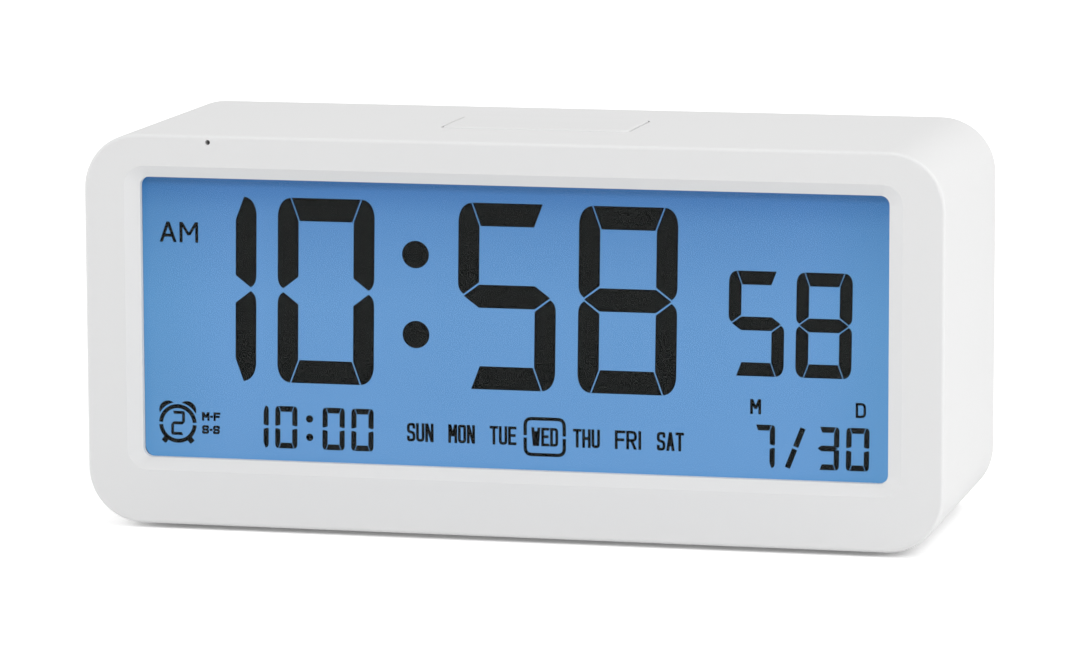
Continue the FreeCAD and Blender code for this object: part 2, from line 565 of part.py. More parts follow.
def well_blocks(body):
    """The battery well with its ledge for the door, and what is cut from it."""
    front = f"{WELL_FLOOR} - WellWall"
    outer = rectangle("WellMidX", WELL_MID, f"{WELL_WIDTH} + 2 * WellWall", f"{WELL_HEIGHT} + 2 * WellWall")
    extrude(body, "WellBlock", "XZ", front, f"{COVER_FRONT} - ({front})", [outer])
    ledge_front = f"{DOOR_FRONT} - LedgeThickness"
    margin = "2 * (DoorGap + WellWall)"
    ledge = rectangle("WellMidX", WELL_MID, f"{DOOR_WIDTH} + {margin}", f"{DOOR_HEIGHT} + {margin}")
    extrude(body, "LedgeBlock", "XZ", ledge_front, f"{COVER_FRONT} - ({ledge_front})", [ledge])
    recess = rounded("WellMidX", WELL_MID, f"{DOOR_WIDTH} + 2 * DoorGap", f"{DOOR_HEIGHT} + 2 * DoorGap",
                     "DoorCorner + DoorGap")
    cut(body, "DoorRecess", "XZ", DOOR_FRONT, "DoorThickness", [recess])
    well = rectangle("WellMidX", WELL_MID, WELL_WIDTH, WELL_HEIGHT)
    cut(body, "Well", "XZ", WELL_FLOOR, WELL_DEPTH, [well])
    slot_low = f"{DOOR_LOW} - TabReach - 2 * TabGap"
    slot_height = "TabReach + 2 * TabGap + DoorThickness + TabGap + TabThickness + 3 * TabGap"
    slots = [
        rectangle(f"WellMidX + {side} * TabPitch / 2", f"{slot_low} + ({slot_height}) / 2",
                  "TabWidth + 3 * TabGap", slot_height)
        for side in (-1, 1)
    ]
    slot_depth = "TabGap + TabThickness + 3 * TabGap"
    cut(body, "TabSlots", "XZ", f"{DOOR_FRONT} - ({slot_depth})", slot_depth, slots)
    scoop_mid = f"{DOOR_HIGH} + DoorGap + (ScoopHeight - DoorCorner) / 2"
    scoop = rounded("WellMidX", scoop_mid, "ScoopWidth", "ScoopHeight + DoorCorner", "ScoopHeight / 2")
    cut(body, "Scoop", "XZ", f"{COVER_BACK} - ScoopDepth", "ScoopDepth", [scoop])
    ribs = [
        rectangle("WellMidX", f"{WELL_MID} + {side} * {CELL_PITCH} / 2", "CellLength * 2 / 3", "RibThickness")
        for side in (-1, 1)
    ]
    extrude(body, "CellRibs", "XZ", WELL_FLOOR, "RibHeight", ribs)
    for side, level in ((-1, 1), (1, -1)):
        wall_x = f"WellMidX + {side} * {WELL_WIDTH} / 2"
        start = wall_x if side > 0 else f"{wall_x} - WellWall"
        hole = circle(CELL_Y, f"{WELL_MID} + {level} * {CELL_PITCH}", "WireDiameter + 2 * PlungerGap")
        name = "WireHoleRight" if side > 0 else "WireHoleLeft"
        cut(body, name, "YZ", start, "WellWall", [hole])


def cover_openings(body):
    """Openings for the keys, the slider and the sound, and the ring round the buzzer."""
    keys = [
        rounded(key_x(index), KEYS_Z, "KeyWidth + 2 * KeyGap", "KeyHeight + 2 * KeyGap", "KeyCorner + KeyGap")
        for index in range(len(KEY_NAMES))
    ]
    cut(body, "KeyOpenings", "XZ", COVER_FRONT, "CoverThickness", keys)
    slot = rectangle("LightSwitchX", KEYS_Z, "LightKnobWidth + LightTravel + 2 * LightGap",
                     "LightKnobHeight + 2 * LightGap")
    cut(body, "LightSlot", "XZ", COVER_FRONT, "CoverThickness", [slot])
    ring = "BuzzerDiameter + 2 * BuzzerGap + 2 * BuzzerRing"
    seat = "BuzzerDiameter - 2 * BuzzerSeat"
    extrude(body, "BuzzerSeatRing", "XZ", DISC_BACK, "BuzzerStand",
            [circle("BuzzerX", BUZZER_Z, ring), circle("BuzzerX", BUZZER_Z, seat)])
    guard = "BuzzerDiameter + 2 * BuzzerGap"
    extrude(body, "BuzzerGuard", "XZ", f"{DISC_BACK} - BuzzerRim", "BuzzerRim",
            [circle("BuzzerX", BUZZER_Z, ring), circle("BuzzerX", BUZZER_Z, guard)])
    holes = [circle("BuzzerX", BUZZER_Z, "SoundHole")]
    for turn, count in ((1, 6), (2, 12)):
        for step in range(count):
            angle = 2 * math.pi * step / count
            across = f"BuzzerX + {turn * math.cos(angle):.6f} * SoundPitch"
            up = f"{BUZZER_Z} + {turn * math.sin(angle):.6f} * SoundPitch"
            holes.append(circle(across, up, "SoundHole"))
    cut(body, "SoundHoles", "XZ", COVER_FRONT, "CoverThickness", holes)


def cover_fixings(body):
    """Screw wells at the corners and the posts that carry the key board."""
    wells = four(circle, CORNER_X, CORNER_UP, CASE_MID, "CoverBossDiameter")
    extrude(body, "ScrewWells", "XZ", CASE_BOSS_BACK, "CoverBossLength", wells)
    bores = four(circle, CORNER_X, CORNER_UP, CASE_MID, "CaseHead + 2 * ScrewHoleGap")
    seat = f"{CASE_BOSS_BACK} + CaseScrewSeat"
    cut(body, "HeadBores", "XZ", seat, f"{COVER_BACK} - ({seat})", bores)
    holes = four(circle, CORNER_X, CORNER_UP, CASE_MID, "CaseShank + 2 * ScrewHoleGap")
    cut(body, "ShankHoles", "XZ", CASE_BOSS_BACK, "CaseScrewSeat", holes)
    post_length = f"{COVER_FRONT} - {KEY_BOARD_BACK}"
    posts = [circle(post_x(side), KEYS_Z, "PostDiameter") for side in (-1, 1)]
    extrude(body, "KeyBoardPosts", "XZ", KEY_BOARD_BACK, post_length, posts)
    pilots = [circle(post_x(side), KEYS_Z, "PilotDiameter") for side in (-1, 1)]
    cut(body, "KeyBoardPilots", "XZ", KEY_BOARD_BACK, "SmallScrewGrip + 1", pilots)


def rear_cover():
    """Rear cover with its battery well."""
    body = new_body("rear_cover")
    plate = rounded("0", CASE_MID, f"{SEAT_WIDTH} - 2 * CoverGap", f"{SEAT_HEIGHT} - 2 * CoverGap",
                    f"{SEAT_CORNER} - CoverGap")
    extrude(body, "Plate", "XZ", COVER_FRONT, "CoverThickness", [plate])
    well_blocks(body)
    cover_openings(body)
    cover_fixings(body)


def battery_door():
    """Door with two hinge tabs, a latch tongue between slots and grip ridges."""
    body = new_body("battery_door")
    panel = rounded("WellMidX", WELL_MID, DOOR_WIDTH, DOOR_HEIGHT, "DoorCorner")
    extrude(body, "Panel", "XZ", DOOR_FRONT, "DoorThickness", [panel])
    slot_x = "(LatchWidth + LatchSlot) / 2"
    slot_z = f"{DOOR_HIGH} - LatchHeight / 2"
    slots = [
        rectangle(f"WellMidX + {side} * {slot_x}", slot_z, "LatchSlot", "LatchHeight")
        for side in (-1, 1)
    ]
    cut(body, "LatchSlots", "XZ", DOOR_FRONT, "DoorThickness", slots)
    tab_x = [f"WellMidX + {side} * TabPitch / 2" for side in (-1, 1)]
    roots = [rectangle(x, f"{DOOR_LOW} + TabRoot / 2", "TabWidth", "TabRoot") for x in tab_x]
    extrude(body, "TabRoots", "XZ", f"{DOOR_FRONT} - TabGap", "TabGap", roots)
    toe_front = f"{DOOR_FRONT} - TabGap - TabThickness"
    toe_mid = f"{DOOR_LOW} + (TabRoot - TabReach) / 2"
    toes = [rectangle(x, toe_mid, "TabWidth", "TabRoot + TabReach") for x in tab_x]
    extrude(body, "Tabs", "XZ", toe_front, "TabThickness", toes)
    grip_z = f"{DOOR_HIGH} - GripDrop"
    grooves = [
        rectangle("WellMidX", f"{grip_z} + {step} * GripPitch", "LatchWidth - 2 * LatchSlot", "GripWidth")
        for step in (-1, 0, 1)
    ]
    cut(body, "GripGrooves", "XZ", f"{COVER_BACK} - GripDepth", "GripDepth", grooves)


def display_stack():
    """Lens, tape, gasket, display glass, films and light guide, from front to back."""
    lens = window_frame("LensMargin", "LensMargin", "WindowCorner + LensMargin")
    ring = window_frame("TapeInset", "TapeInset", "WindowCorner + TapeInset")
    extrude(new_body("lens_tape"), "Film", "XZ", FRAME_BACK, "TapeThickness", [lens, ring])
    extrude(new_body("display_lens"), "Sheet", "XZ", LENS_FRONT, "LensThickness", [lens])
    extrude(new_body("display_gasket"), "Foam", "XZ", LENS_BACK, "GasketThickness", [lens, ring])
    film = window_frame("GlassMargin - FilmInset", "GlassMargin - FilmInset", "WindowCorner")
    glass = rectangle("0", WINDOW_MID, GLASS_WIDTH, GLASS_HEIGHT)
    tall = rectangle("0", f"{WINDOW_MID} - ContactLedge / 2", GLASS_WIDTH, f"{GLASS_HEIGHT} + ContactLedge")
    extrude(new_body("front_polarizer"), "Film", "XZ", DISPLAY_FRONT, "FilmThickness", [film])
    extrude(new_body("front_glass"), "Sheet", "XZ", FRONT_GLASS, "GlassThickness", [tall])
    extrude(new_body("rear_glass"), "Sheet", "XZ", REAR_GLASS, "GlassThickness", [glass])
    extrude(new_body("rear_polarizer"), "Film", "XZ", REAR_FILM, "FilmThickness", [film])
    extrude(new_body("diffuser_film"), "Film", "XZ", DIFFUSER, "DiffuserThickness", [film])
    guide = new_body("light_guide")
    extrude(guide, "Sheet", "XZ", GUIDE, "GuideThickness", [glass])
    notch_x = f"{GLASS_WIDTH} / 2 - (LampWidth + LampGap) / 2"
    notches = [
        rectangle(f"{side} * ({notch_x})", lamp_z(step), "LampWidth + LampGap", "LampHeight + 2 * LampGap")
        for side in (-1, 1)
        for step in (-1, 0, 1)
    ]
    cut(guide, "LampNotches", "XZ", GUIDE, "GuideThickness", notches)
    back = rectangle("0", WINDOW_MID, f"{GLASS_WIDTH} - 2 * (LampWidth + LampGap)", GLASS_HEIGHT)
    extrude(new_body("reflector_film"), "Film", "XZ", REFLECTOR, "FilmThickness", [back])


def lamp_z(step):
    """Height of a backlight lamp, counted from the middle one."""
    return f"{WINDOW_MID} + {step} * LampPitch"


def display_holder():
    """Frame that holds the display stack against the lens."""
    body = new_body("display_holder")
    middle = f"{WINDOW_MID} - ContactLedge / 2"
    pocket_height = f"({GLASS_HEIGHT} + ContactLedge + 2 * HolderGap)"
    outer = rounded("0", middle, HOLDER_WIDTH, f"{pocket_height} + 2 * HolderWall", "HolderWall")
    pocket = rectangle("0", middle, f"{HOLDER_WIDTH} - 2 * HolderWall", pocket_height)
    extrude(body, "Frame", "XZ", DISPLAY_FRONT, f"{BOARD_FRONT} - {DISPLAY_FRONT}", [outer, pocket])


def contact_strip():
    """Rubber strip that joins the front glass to the main board."""
    low = f"{WINDOW_MID} - {GLASS_HEIGHT} / 2 - ContactLedge"
    strip = rectangle("0", f"{low} + LampGap + StripThickness / 2", f"{GLASS_WIDTH} - 4 * HolderWall",
                      "StripThickness")
    extrude(new_body("contact_strip"), "Rubber", "XZ", REAR_GLASS, f"{BOARD_FRONT} - {REAR_GLASS}", [strip])


def main_board():
    """Main circuit board with its screw holes and lead holes."""
    body = new_body("main_board")
    outline = rounded("0", CASE_MID, f"{INNER_WIDTH} - 2 * BoardGap", f"{INNER_HEIGHT} - 2 * BoardGap",
                      f"{INNER_CORNER} - BoardGap")
    extrude(body, "Plate", "XZ", BOARD_FRONT, "BoardThickness", [outline])
    holes = four(circle, BOSS_X, "BossPitch / 2", WINDOW_MID, "PilotDiameter + 2 * ScrewHoleGap")
    cut(body, "ScrewHoles", "XZ", BOARD_FRONT, "BoardThickness", holes)
    leads = [circle(lead_x(side), LEAD_Z, "LeadSize * 2") for side in (-1, 1)]
    cut(body, "LeadHoles", "XZ", BOARD_FRONT, "BoardThickness", leads)


def lead_x(side):
    """Place of a light sensor lead."""
    return f"-CaseWidth / 2 + SensorSide + {side} * SensorWidth / 4"


def light_sensor():
    """Light sensor behind the pinhole, with two leads to the main board."""
    body = new_body("light_sensor")
    high = f"({CASE_TOP} - SensorSkin - SensorGap)"
    low = f"({LEAD_Z} - LeadSize / 2)"
    shell = rectangle("-CaseWidth / 2 + SensorSide", f"({high} + {low}) / 2", "SensorWidth",
                      f"{high} - {low}")
    extrude(body, "Shell", "XZ", f"{FRAME_BACK} + SensorGap", "SensorLength - 2 * SensorGap", [shell])
    start = f"({FRAME_BACK} + SensorLength - SensorGap)"
    leads = [rectangle(lead_x(side), LEAD_Z, "LeadSize", "LeadSize") for side in (-1, 1)]
    extrude(body, "Leads", "XZ", start, f"{BOARD_BACK} + LeadSize - {start}", leads)


def board_parts():
    """Lamps, chip, crystal and small parts on the main board."""
    lamp_x = f"{GLASS_WIDTH} / 2 - LampWidth / 2"
    lamps = [
        rectangle(f"{side} * ({lamp_x})", lamp_z(step), "LampWidth", "LampHeight")
        for side in (-1, 1)
        for step in (-1, 0, 1)
    ]
    extrude(new_body("backlight_lamps"), "Shells", "XZ", f"{BOARD_FRONT} - LampRise", "LampRise", lamps)
    chip = new_body("controller_chip")
    extrude(chip, "Dome", "XZ", BOARD_BACK, "ChipRise", [circle("ChipX", CASE_MID, "ChipDiameter")])
    soften(chip, "DomeEdge", "ChipEdge", "Y", f"{BOARD_BACK} + ChipRise")
    crystal = new_body("quartz_crystal")
    extrude(crystal, "Can", "XY", f"{CASE_MID} - CrystalLength / 2", "CrystalLength",
            [circle("CrystalX", f"{BOARD_BACK} + CrystalDiameter / 2", "CrystalDiameter")])
    chips = [
        rectangle(f"PartsX + {column} * PartPitchX", f"{CASE_MID} + {line} * PartPitchZ",
                  "PartLength", "PartWidth")
        for line in (-2, -1, 0, 1)
        for column in (-1.5, -0.5, 0.5, 1.5)
    ]
    extrude(new_body("small_board_parts"), "Chips", "XZ", BOARD_BACK, "PartRise", chips)
    cans = [
        circle("CapacitorX", f"{CASE_MID} + {side} * CapacitorPitch / 2", "CapacitorDiameter")
        for side in (-1, 1)
    ]
    extrude(new_body("board_capacitors"), "Cans", "XZ", BOARD_BACK, "CapacitorRise", cans)


def push_switches(label, centres, plane, base):
    """Push switch bodies, each with a well for its plunger."""
    body = new_body(label)
    shells = [rectangle(across, up, "SwitchSize", "SwitchSize") for across, up in centres]
    extrude(body, "Shells", plane, base, "SwitchHeight", shells)
    depth = "PlungerSink + PlungerRoom"
    wells = [circle(across, up, "PlungerDiameter + 2 * PlungerGap") for across, up in centres]
    cut(body, "PlungerWells", plane, f"{base} + SwitchHeight - ({depth})", depth, wells)


def plunger(label, plane, base):
    """One push switch plunger, drawn about its own axis."""
    body = new_body(label)
    start = f"{base} + SwitchHeight - PlungerSink"
    extrude(body, "Stem", plane, start, "PlungerSink + PlungerRise", [circle("0", "0", "PlungerDiameter")])
    return body


def snooze_parts():
    """The long key on top of the case and what it presses."""
    key = new_body("snooze_key")
    cap = rounded("0", SNOOZE_Y, "SnoozeWidth", "SnoozeLength", "SnoozeCorner")
    extrude(key, "Cap", "XY", SNOOZE_FLANGE, f"{CASE_TOP} + SnoozeProud - {SNOOZE_FLANGE}", [cap])
    soften(key, "TopEdge", "KeySoftness", "Z", f"{CASE_TOP} + SnoozeProud")
    flange = rounded("0", SNOOZE_Y, "SnoozeWidth + 2 * FlangeMargin", "SnoozeLength + 2 * FlangeMargin",
                     "SnoozeCorner + FlangeMargin")
    extrude(key, "Flange", "XY", SNOOZE_FLANGE, "FlangeThickness", [flange])
    pin = circle("0", SNOOZE_Y, "PinDiameter")
    extrude(key, "Pin", "XY", f"{SNOOZE_FLANGE} - SnoozePin", "SnoozePin", [pin])
    board = new_body("snooze_board")
    plate = rounded("0", SNOOZE_Y, f"2 * {SNOOZE_POST} + 2 * SnoozeBoardEnd", "SnoozeBoardLength",
                    "BoardCorner")
    start = f"{SNOOZE_BOARD_TOP} - SmallBoard"
    extrude(board, "Plate", "XY", start, "SmallBoard", [plate])
    posts = [f"{side} * {SNOOZE_POST}" for side in (-1, 1)]
    cut(board, "ScrewHoles", "XY", start, "SmallBoard",
        [circle(x, SNOOZE_Y, "PilotDiameter + 2 * ScrewHoleGap") for x in posts])
    push_switches("snooze_switch", [("0", SNOOZE_Y)], "XY", SNOOZE_BOARD_TOP)
    stem = plunger("snooze_plunger", "XY", SNOOZE_BOARD_TOP)
    place(stem, y=SNOOZE_Y)
    screws = new_body("snooze_board_screws")
    shanks = [circle(x, SNOOZE_Y, "PilotDiameter") for x in posts]
    extrude(screws, "Shanks", "XY", start, "SmallBoard + SmallScrewGrip", shanks)
    heads = [circle(x, SNOOZE_Y, "SmallHead") for x in posts]
    extrude(screws, "Heads", "XY", f"{start} - SmallHeadRise", "SmallHeadRise", heads)


def key_x(index):
    """Place of a rear key, counted from the first."""
    return f"KeysMidX + {index - len(KEY_NAMES) // 2} * {KEY_PITCH}"


def post_x(side):
    """Place of a key board post, midway between two keys."""
    return f"KeysMidX + {side} * 1.5 * {KEY_PITCH}"


def rear_key(label, index):
    """One rear key with its flange and pin, drawn about its own middle."""
    body = new_body(label)
    back = f"({COVER_BACK} + KeyProud)"
    extrude(body, "Cap", "XZ", FLANGE_FRONT, f"{back} - {FLANGE_FRONT}",
            [rounded("0", "0", "KeyWidth", "KeyHeight", "KeyCorner")])
    soften(body, "CapEdge", "KeySoftness", "Y", back)
    flange = rounded("0", "0", "KeyWidth + 2 * FlangeMargin", "KeyHeight + 2 * FlangeMargin",
                     "KeyCorner + FlangeMargin")
    extrude(body, "Flange", "XZ", FLANGE_FRONT, "FlangeThickness", [flange])
    extrude(body, "Pin", "XZ", f"{FLANGE_FRONT} - KeyPin", "KeyPin", [circle("0", "0", "PinDiameter")])
    place(body, x=key_x(index), z=KEYS_Z)


def key_parts():
    """Rear keys, their switches and the board that carries them."""
    for index, label in enumerate(KEY_NAMES):
        rear_key(label, index)
        stem = plunger(label + "_plunger", "XZ", KEY_BOARD_BACK)
        place(stem, x=key_x(index), z=KEYS_Z)
    centres = [(key_x(index), KEYS_Z) for index in range(len(KEY_NAMES))]
    push_switches("key_switches", centres, "XZ", KEY_BOARD_BACK)
    board = new_body("key_board")
    left = f"({key_x(0)} - KeyBoardEnd)"
    right = "(LightSwitchX + KeyBoardEnd)"
    start = f"{KEY_BOARD_BACK} - SmallBoard"
    plate = rounded(f"({left} + {right}) / 2", KEYS_Z, f"{right} - {left}", "KeyBoardHeight",
                    "BoardCorner")
    extrude(board, "Plate", "XZ", start, "SmallBoard", [plate])
    posts = [post_x(side) for side in (-1, 1)]
    cut(board, "ScrewHoles", "XZ", start, "SmallBoard",
        [circle(x, KEYS_Z, "PilotDiameter + 2 * ScrewHoleGap") for x in posts])
    screws = new_body("key_board_screws")
    shanks = [circle(x, KEYS_Z, "PilotDiameter") for x in posts]
    extrude(screws, "Shanks", "XZ", start, "SmallBoard + SmallScrewGrip", shanks)
    heads = [circle(x, KEYS_Z, "SmallHead") for x in posts]
    extrude(screws, "Heads", "XZ", f"{start} - SmallHeadRise", "SmallHeadRise", heads)


def light_switch():
    """Slide switch for the display light: its body and its slider."""
    body = new_body("light_switch_body")
    shell = rectangle("LightSwitchX", KEYS_Z, "LightBodyWidth", "LightBodyHeight")
    extrude(body, "Shell", "XZ", KEY_BOARD_BACK, "LightBodyRise", [shell])
    depth = "LightStemSink + LightGap"
    track = rectangle("LightSwitchX", KEYS_Z, "LightStem + LightTravel + 2 * LightGap",
                      "LightStem + 2 * LightGap")
    top = f"({KEY_BOARD_BACK} + LightBodyRise)"
    cut(body, "Track", "XZ", f"{top} - ({depth})", depth, [track])
    slider = new_body("light_switch_slider")
    stem_front = f"({top} - LightStemSink)"
    knob_front = f"({top} + LightGap)"
    extrude(slider, "Stem", "XZ", stem_front, f"{knob_front} - {stem_front}",
            [rectangle("0", "0", "LightStem", "LightStem")])
    knob_back = f"({COVER_BACK} + LightKnobProud)"
    extrude(slider, "Knob", "XZ", knob_front, f"{knob_back} - {knob_front}",
            [rounded("0", "0", "LightKnobWidth", "LightKnobHeight", "LightKnobCorner")])
    grooves = [
        rectangle(f"{step} * KnobGroovePitch", "0", "KnobGroove", "LightKnobHeight - LightKnobCorner")
        for step in (-1, 0, 1)
    ]
    cut(slider, "Grooves", "XZ", f"{knob_back} - KnobGrooveDepth", "KnobGrooveDepth", grooves)
    place(slider, x="LightSwitchX - LightTravel / 2", z=KEYS_Z)


def buzzer():
    """Buzzer disc and its ceramic layer."""
    disc = new_body("buzzer_disc")
    extrude(disc, "Brass", "XZ", f"{DISC_BACK} - BuzzerThickness", "BuzzerThickness",
            [circle("BuzzerX", BUZZER_Z, "BuzzerDiameter")])
    layer = new_body("buzzer_ceramic")
    start = f"{DISC_BACK} - BuzzerThickness - CeramicThickness"
    extrude(layer, "Layer", "XZ", start, "CeramicThickness", [circle("BuzzerX", BUZZER_Z, "CeramicDiameter")])


def screws():
    """Main board screws and case screws, each group in one node."""
    small = new_body("board_screws")
    shanks = four(circle, BOSS_X, "BossPitch / 2", WINDOW_MID, "PilotDiameter")
    extrude(small, "Shanks", "XZ", f"{BOARD_FRONT} - SmallScrewGrip", "SmallScrewGrip + BoardThickness",
            shanks)
    heads = four(circle, BOSS_X, "BossPitch / 2", WINDOW_MID, "SmallHead")
    extrude(small, "Heads", "XZ", BOARD_BACK, "SmallHeadRise", heads)
    large = new_body("case_screws")
    seat = f"({CASE_BOSS_BACK} + CaseScrewSeat)"
    shanks = four(circle, CORNER_X, CORNER_UP, CASE_MID, "CaseShank")
    extrude(large, "Shanks", "XZ", f"{CASE_BOSS_BACK} - CaseScrewGrip", "CaseScrewGrip + CaseScrewSeat",
            shanks)
    heads = four(circle, CORNER_X, CORNER_UP, CASE_MID, "CaseHead")
    extrude(large, "Heads", "XZ", seat, "CaseHeadRise", heads)
    soften(large, "HeadEdges", "KeySoftness", "Y", f"{seat} + CaseHeadRise")
    slots = []
    for width, height in (("CaseHead * 2 / 3", "CaseHead / 8"), ("CaseHead / 8", "CaseHead * 2 / 3")):
        slots.append(four(rectangle, CORNER_X, CORNER_UP, CASE_MID, width, height))
    for name, shapes in zip(("SlotsAcross", "SlotsUp"), slots):
        cut(large, name, "XZ", f"{seat} + CaseHeadRise / 2", "CaseHeadRise / 2", shapes)


def cell_z(index):
    """Height of a cell, counted from the top one."""
    return f"({WELL_MID} + {1 - index} * {CELL_PITCH})"


def battery_parts():
    """Cells, springs and contact plates; each cell points the other way from the next."""
    half = f"({WELL_WIDTH} / 2)"
    springs = doc.addObject("Part::MultiFuse", "battery_springs")
    cones = []
    for index, label in enumerate(CELL_NAMES):
        side = 1 if index % 2 == 0 else -1
        spring_base = f"WellMidX + {side} * ({half} - ContactPlate)"
        can_end = f"WellMidX + {side} * ({half} - ContactPlate - SpringLength)"
        far_end = f"{can_end} - {side} * CellLength"
        can_start = far_end if side > 0 else can_end
        nub_start = f"{far_end} - NubLength" if side > 0 else far_end
        cell = new_body(label)
        extrude(cell, "Can", "YZ", can_start, "CellLength", [circle("0", "0", "CellDiameter")])
        soften(cell, "PlusEdge", "KeySoftness", "X", far_end)
        soften(cell, "MinusEdge", "KeySoftness", "X", can_end)
        extrude(cell, "Nub", "YZ", nub_start, "NubLength", [circle("0", "0", "NubDiameter")])
        place(cell, y=CELL_Y, z=cell_z(index))
        cone = doc.addObject("Part::Cone", f"spring_{index}")
        cone.setExpression("Radius1", formula("SpringDiameter / 2"))
        cone.setExpression("Radius2", formula("SpringTip / 2"))
        cone.setExpression("Height", formula("SpringLength"))
        cone.Placement.Rotation = FreeCAD.Rotation(Vector(0, 1, 0), -90 * side)
        cone.setExpression("Placement.Base.x", formula(spring_base))
        cone.setExpression("Placement.Base.y", formula(CELL_Y))
        cone.setExpression("Placement.Base.z", formula(cell_z(index)))
        cones.append(cone)
    springs.Shapes = cones
    springs.Label = "battery_springs"
    nodes.append(springs)
    plates = new_body("battery_contact_plates")
    pair_height = f"{CELL_PITCH} + ContactWidth"
    for name, start, single, pair in (
        ("Left", f"WellMidX - {half}", 0, 1.5),
        ("Right", f"WellMidX + {half} - ContactPlate", 2, 0.5),
    ):
        shapes = [
            rectangle(CELL_Y, cell_z(single), "ContactWidth", "ContactWidth"),
            rectangle(CELL_Y, cell_z(pair), "ContactWidth", pair_height),
        ]
        extrude(plates, name, "YZ", start, "ContactPlate", shapes)


def feet():
    """Four rubber feet, sunk into the underside of the case."""
    body = new_body("rubber_feet")
    discs = four(circle, "CaseWidth / 2 - FootSide", "CaseDepth / 2 - FootEnd", "0", "FootDiameter")
    extrude(body, "Discs", "XY", "0", "FootProud + FootSink", discs)
    soften(body, "LowEdge", "FootProud / 3", "Z", "0")


def lead(corners, diameter):
    """A round wire along straight runs joined by tangent arcs."""
    points = [Vector(*corner) for corner in corners]
    edges = []
    start = points[0]
    for before, corner, after in zip(points, points[1:], points[2:]):
        back = (before - corner).normalize()
        ahead = (after - corner).normalize()
        setback = 0.45 * min((before - corner).Length, (after - corner).Length)
        half_turn = (math.pi - back.getAngle(ahead)) / 2
        radius = setback / math.tan(half_turn)
        first = corner + back * setback
        last = corner + ahead * setback
        inward = (back + ahead).normalize()
        middle = corner + inward * (radius / math.cos(half_turn) - radius)
        edges.append(Part.LineSegment(start, first).toShape())
        edges.append(Part.Arc(first, middle, last).toShape())
        start = last
    edges.append(Part.LineSegment(start, points[-1]).toShape())
    path = Part.Wire(edges)
    ring = Part.Wire(Part.makeCircle(diameter / 2, points[0], points[1] - points[0]))
    return path.makePipeShell([ring], True, False)


def wires(label, routes):
    """One node of loose wires, each a separate solid."""
    diameter = number("WireDiameter")
    feature = doc.addObject("Part::Feature", label)
    feature.Label = label
    feature.Shape = Part.makeCompound([lead(route, diameter) for route in routes])
    nodes.append(feature)


def wiring():
    """Wires from the cells, the buzzer and the snooze board, and the key ribbon."""
    board = number(BOARD_BACK)
    half = number(f"{WELL_WIDTH} / 2")
    middle = number("WellMidX")
    cell_y = number(CELL_Y)
    routes = []
    for side, index in ((-1, 0), (1, 2)):
        wall = middle + side * half
        away = wall + side * number("WellWall + WireStandOff")
        height = number(cell_z(index))
        routes.append([(wall, cell_y, height), (away, cell_y, height), (away, board, height)])
    wires("battery_wires", routes)
    disc_front = number(f"{DISC_BACK} - BuzzerThickness - CeramicThickness")
    height = number(BUZZER_Z)
    depth = disc_front - board
    drop = number("BuzzerWireDrop")
    routes = []
    for side in (-1, 1):
        start = number(f"BuzzerX + {side} * WirePitch / 2")
        end = start + number("BuzzerWireShift")
        routes.append([
            (start, disc_front, height),
            (start, disc_front - depth / 3, height),
            (end, disc_front - depth * 2 / 3, height - drop),
            (end, board, height - drop),
        ])
    wires("buzzer_wires", routes)
    low = number(f"{SNOOZE_BOARD_TOP} - SmallBoard")
    bend = low - number("SnoozeWireDrop")
    middle_y = number(SNOOZE_Y)
    routes = []
    for side in (-1, 1):
        x = number(f"SnoozeWireX + {side} * WirePitch / 2")
        routes.append([(x, middle_y, low), (x, middle_y, bend), (x, board, bend)])
    wires("snooze_wires", routes)
    ribbon = new_body("key_ribbon")
    key_board_front = f"({KEY_BOARD_BACK} - SmallBoard)"
    band = rectangle(key_x(2), f"{KEYS_Z} - KeyBoardHeight / 4", "RibbonWidth", "RibbonThickness")
    extrude(ribbon, "Band", "XZ", BOARD_BACK, f"{key_board_front} - {BOARD_BACK}", [band])


def check_document():
    """Stop if any object failed or any node's shape is unsound."""
    doc.recompute()
    for item in doc.Objects:
        if "Invalid" in item.State or "Error" in item.State:
            raise RuntimeError(f"{item.Name} is {item.State}")
    for node in nodes:
        if node.Shape.isNull() or not node.Shape.isValid() or node.Shape.Volume <= 0:
            raise RuntimeError(f"{node.Label} has no sound shape")


front_case()
rear_cover()
battery_door()
display_stack()
display_holder()
contact_strip()
main_board()
light_sensor()
board_parts()
snooze_parts()
key_parts()
light_switch()
buzzer()
screws()
battery_parts()
feet()
wiring()
check_document()

os.makedirs("parts", exist_ok=True)
for node in nodes:
    node.Shape.exportStep(f"parts/{node.Label}.step")
print(len(nodes), "nodes written")
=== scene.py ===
"""Looks of a white desk alarm clock with a lit blue display, built round its construction model."""

import json
import math

import bpy
import numpy as np
from mathutils import Matrix, Vector


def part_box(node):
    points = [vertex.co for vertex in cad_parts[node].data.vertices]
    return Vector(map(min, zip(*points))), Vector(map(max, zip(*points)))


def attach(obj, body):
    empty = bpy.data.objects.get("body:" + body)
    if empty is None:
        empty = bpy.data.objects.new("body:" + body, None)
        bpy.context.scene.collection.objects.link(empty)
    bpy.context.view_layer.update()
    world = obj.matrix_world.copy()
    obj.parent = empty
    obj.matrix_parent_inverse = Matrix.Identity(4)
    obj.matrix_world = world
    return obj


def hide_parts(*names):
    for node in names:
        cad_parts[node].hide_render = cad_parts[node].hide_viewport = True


bl_info = {
    "name": "Desk alarm clock",
    "version": (1, 0, 0),
    "blender": (4, 5, 0),
    "location": "View3D > Sidebar > Clock",
    "description": "Finishes, lit display, rear details and studio of a desk alarm clock",
    "category": "Object",
}

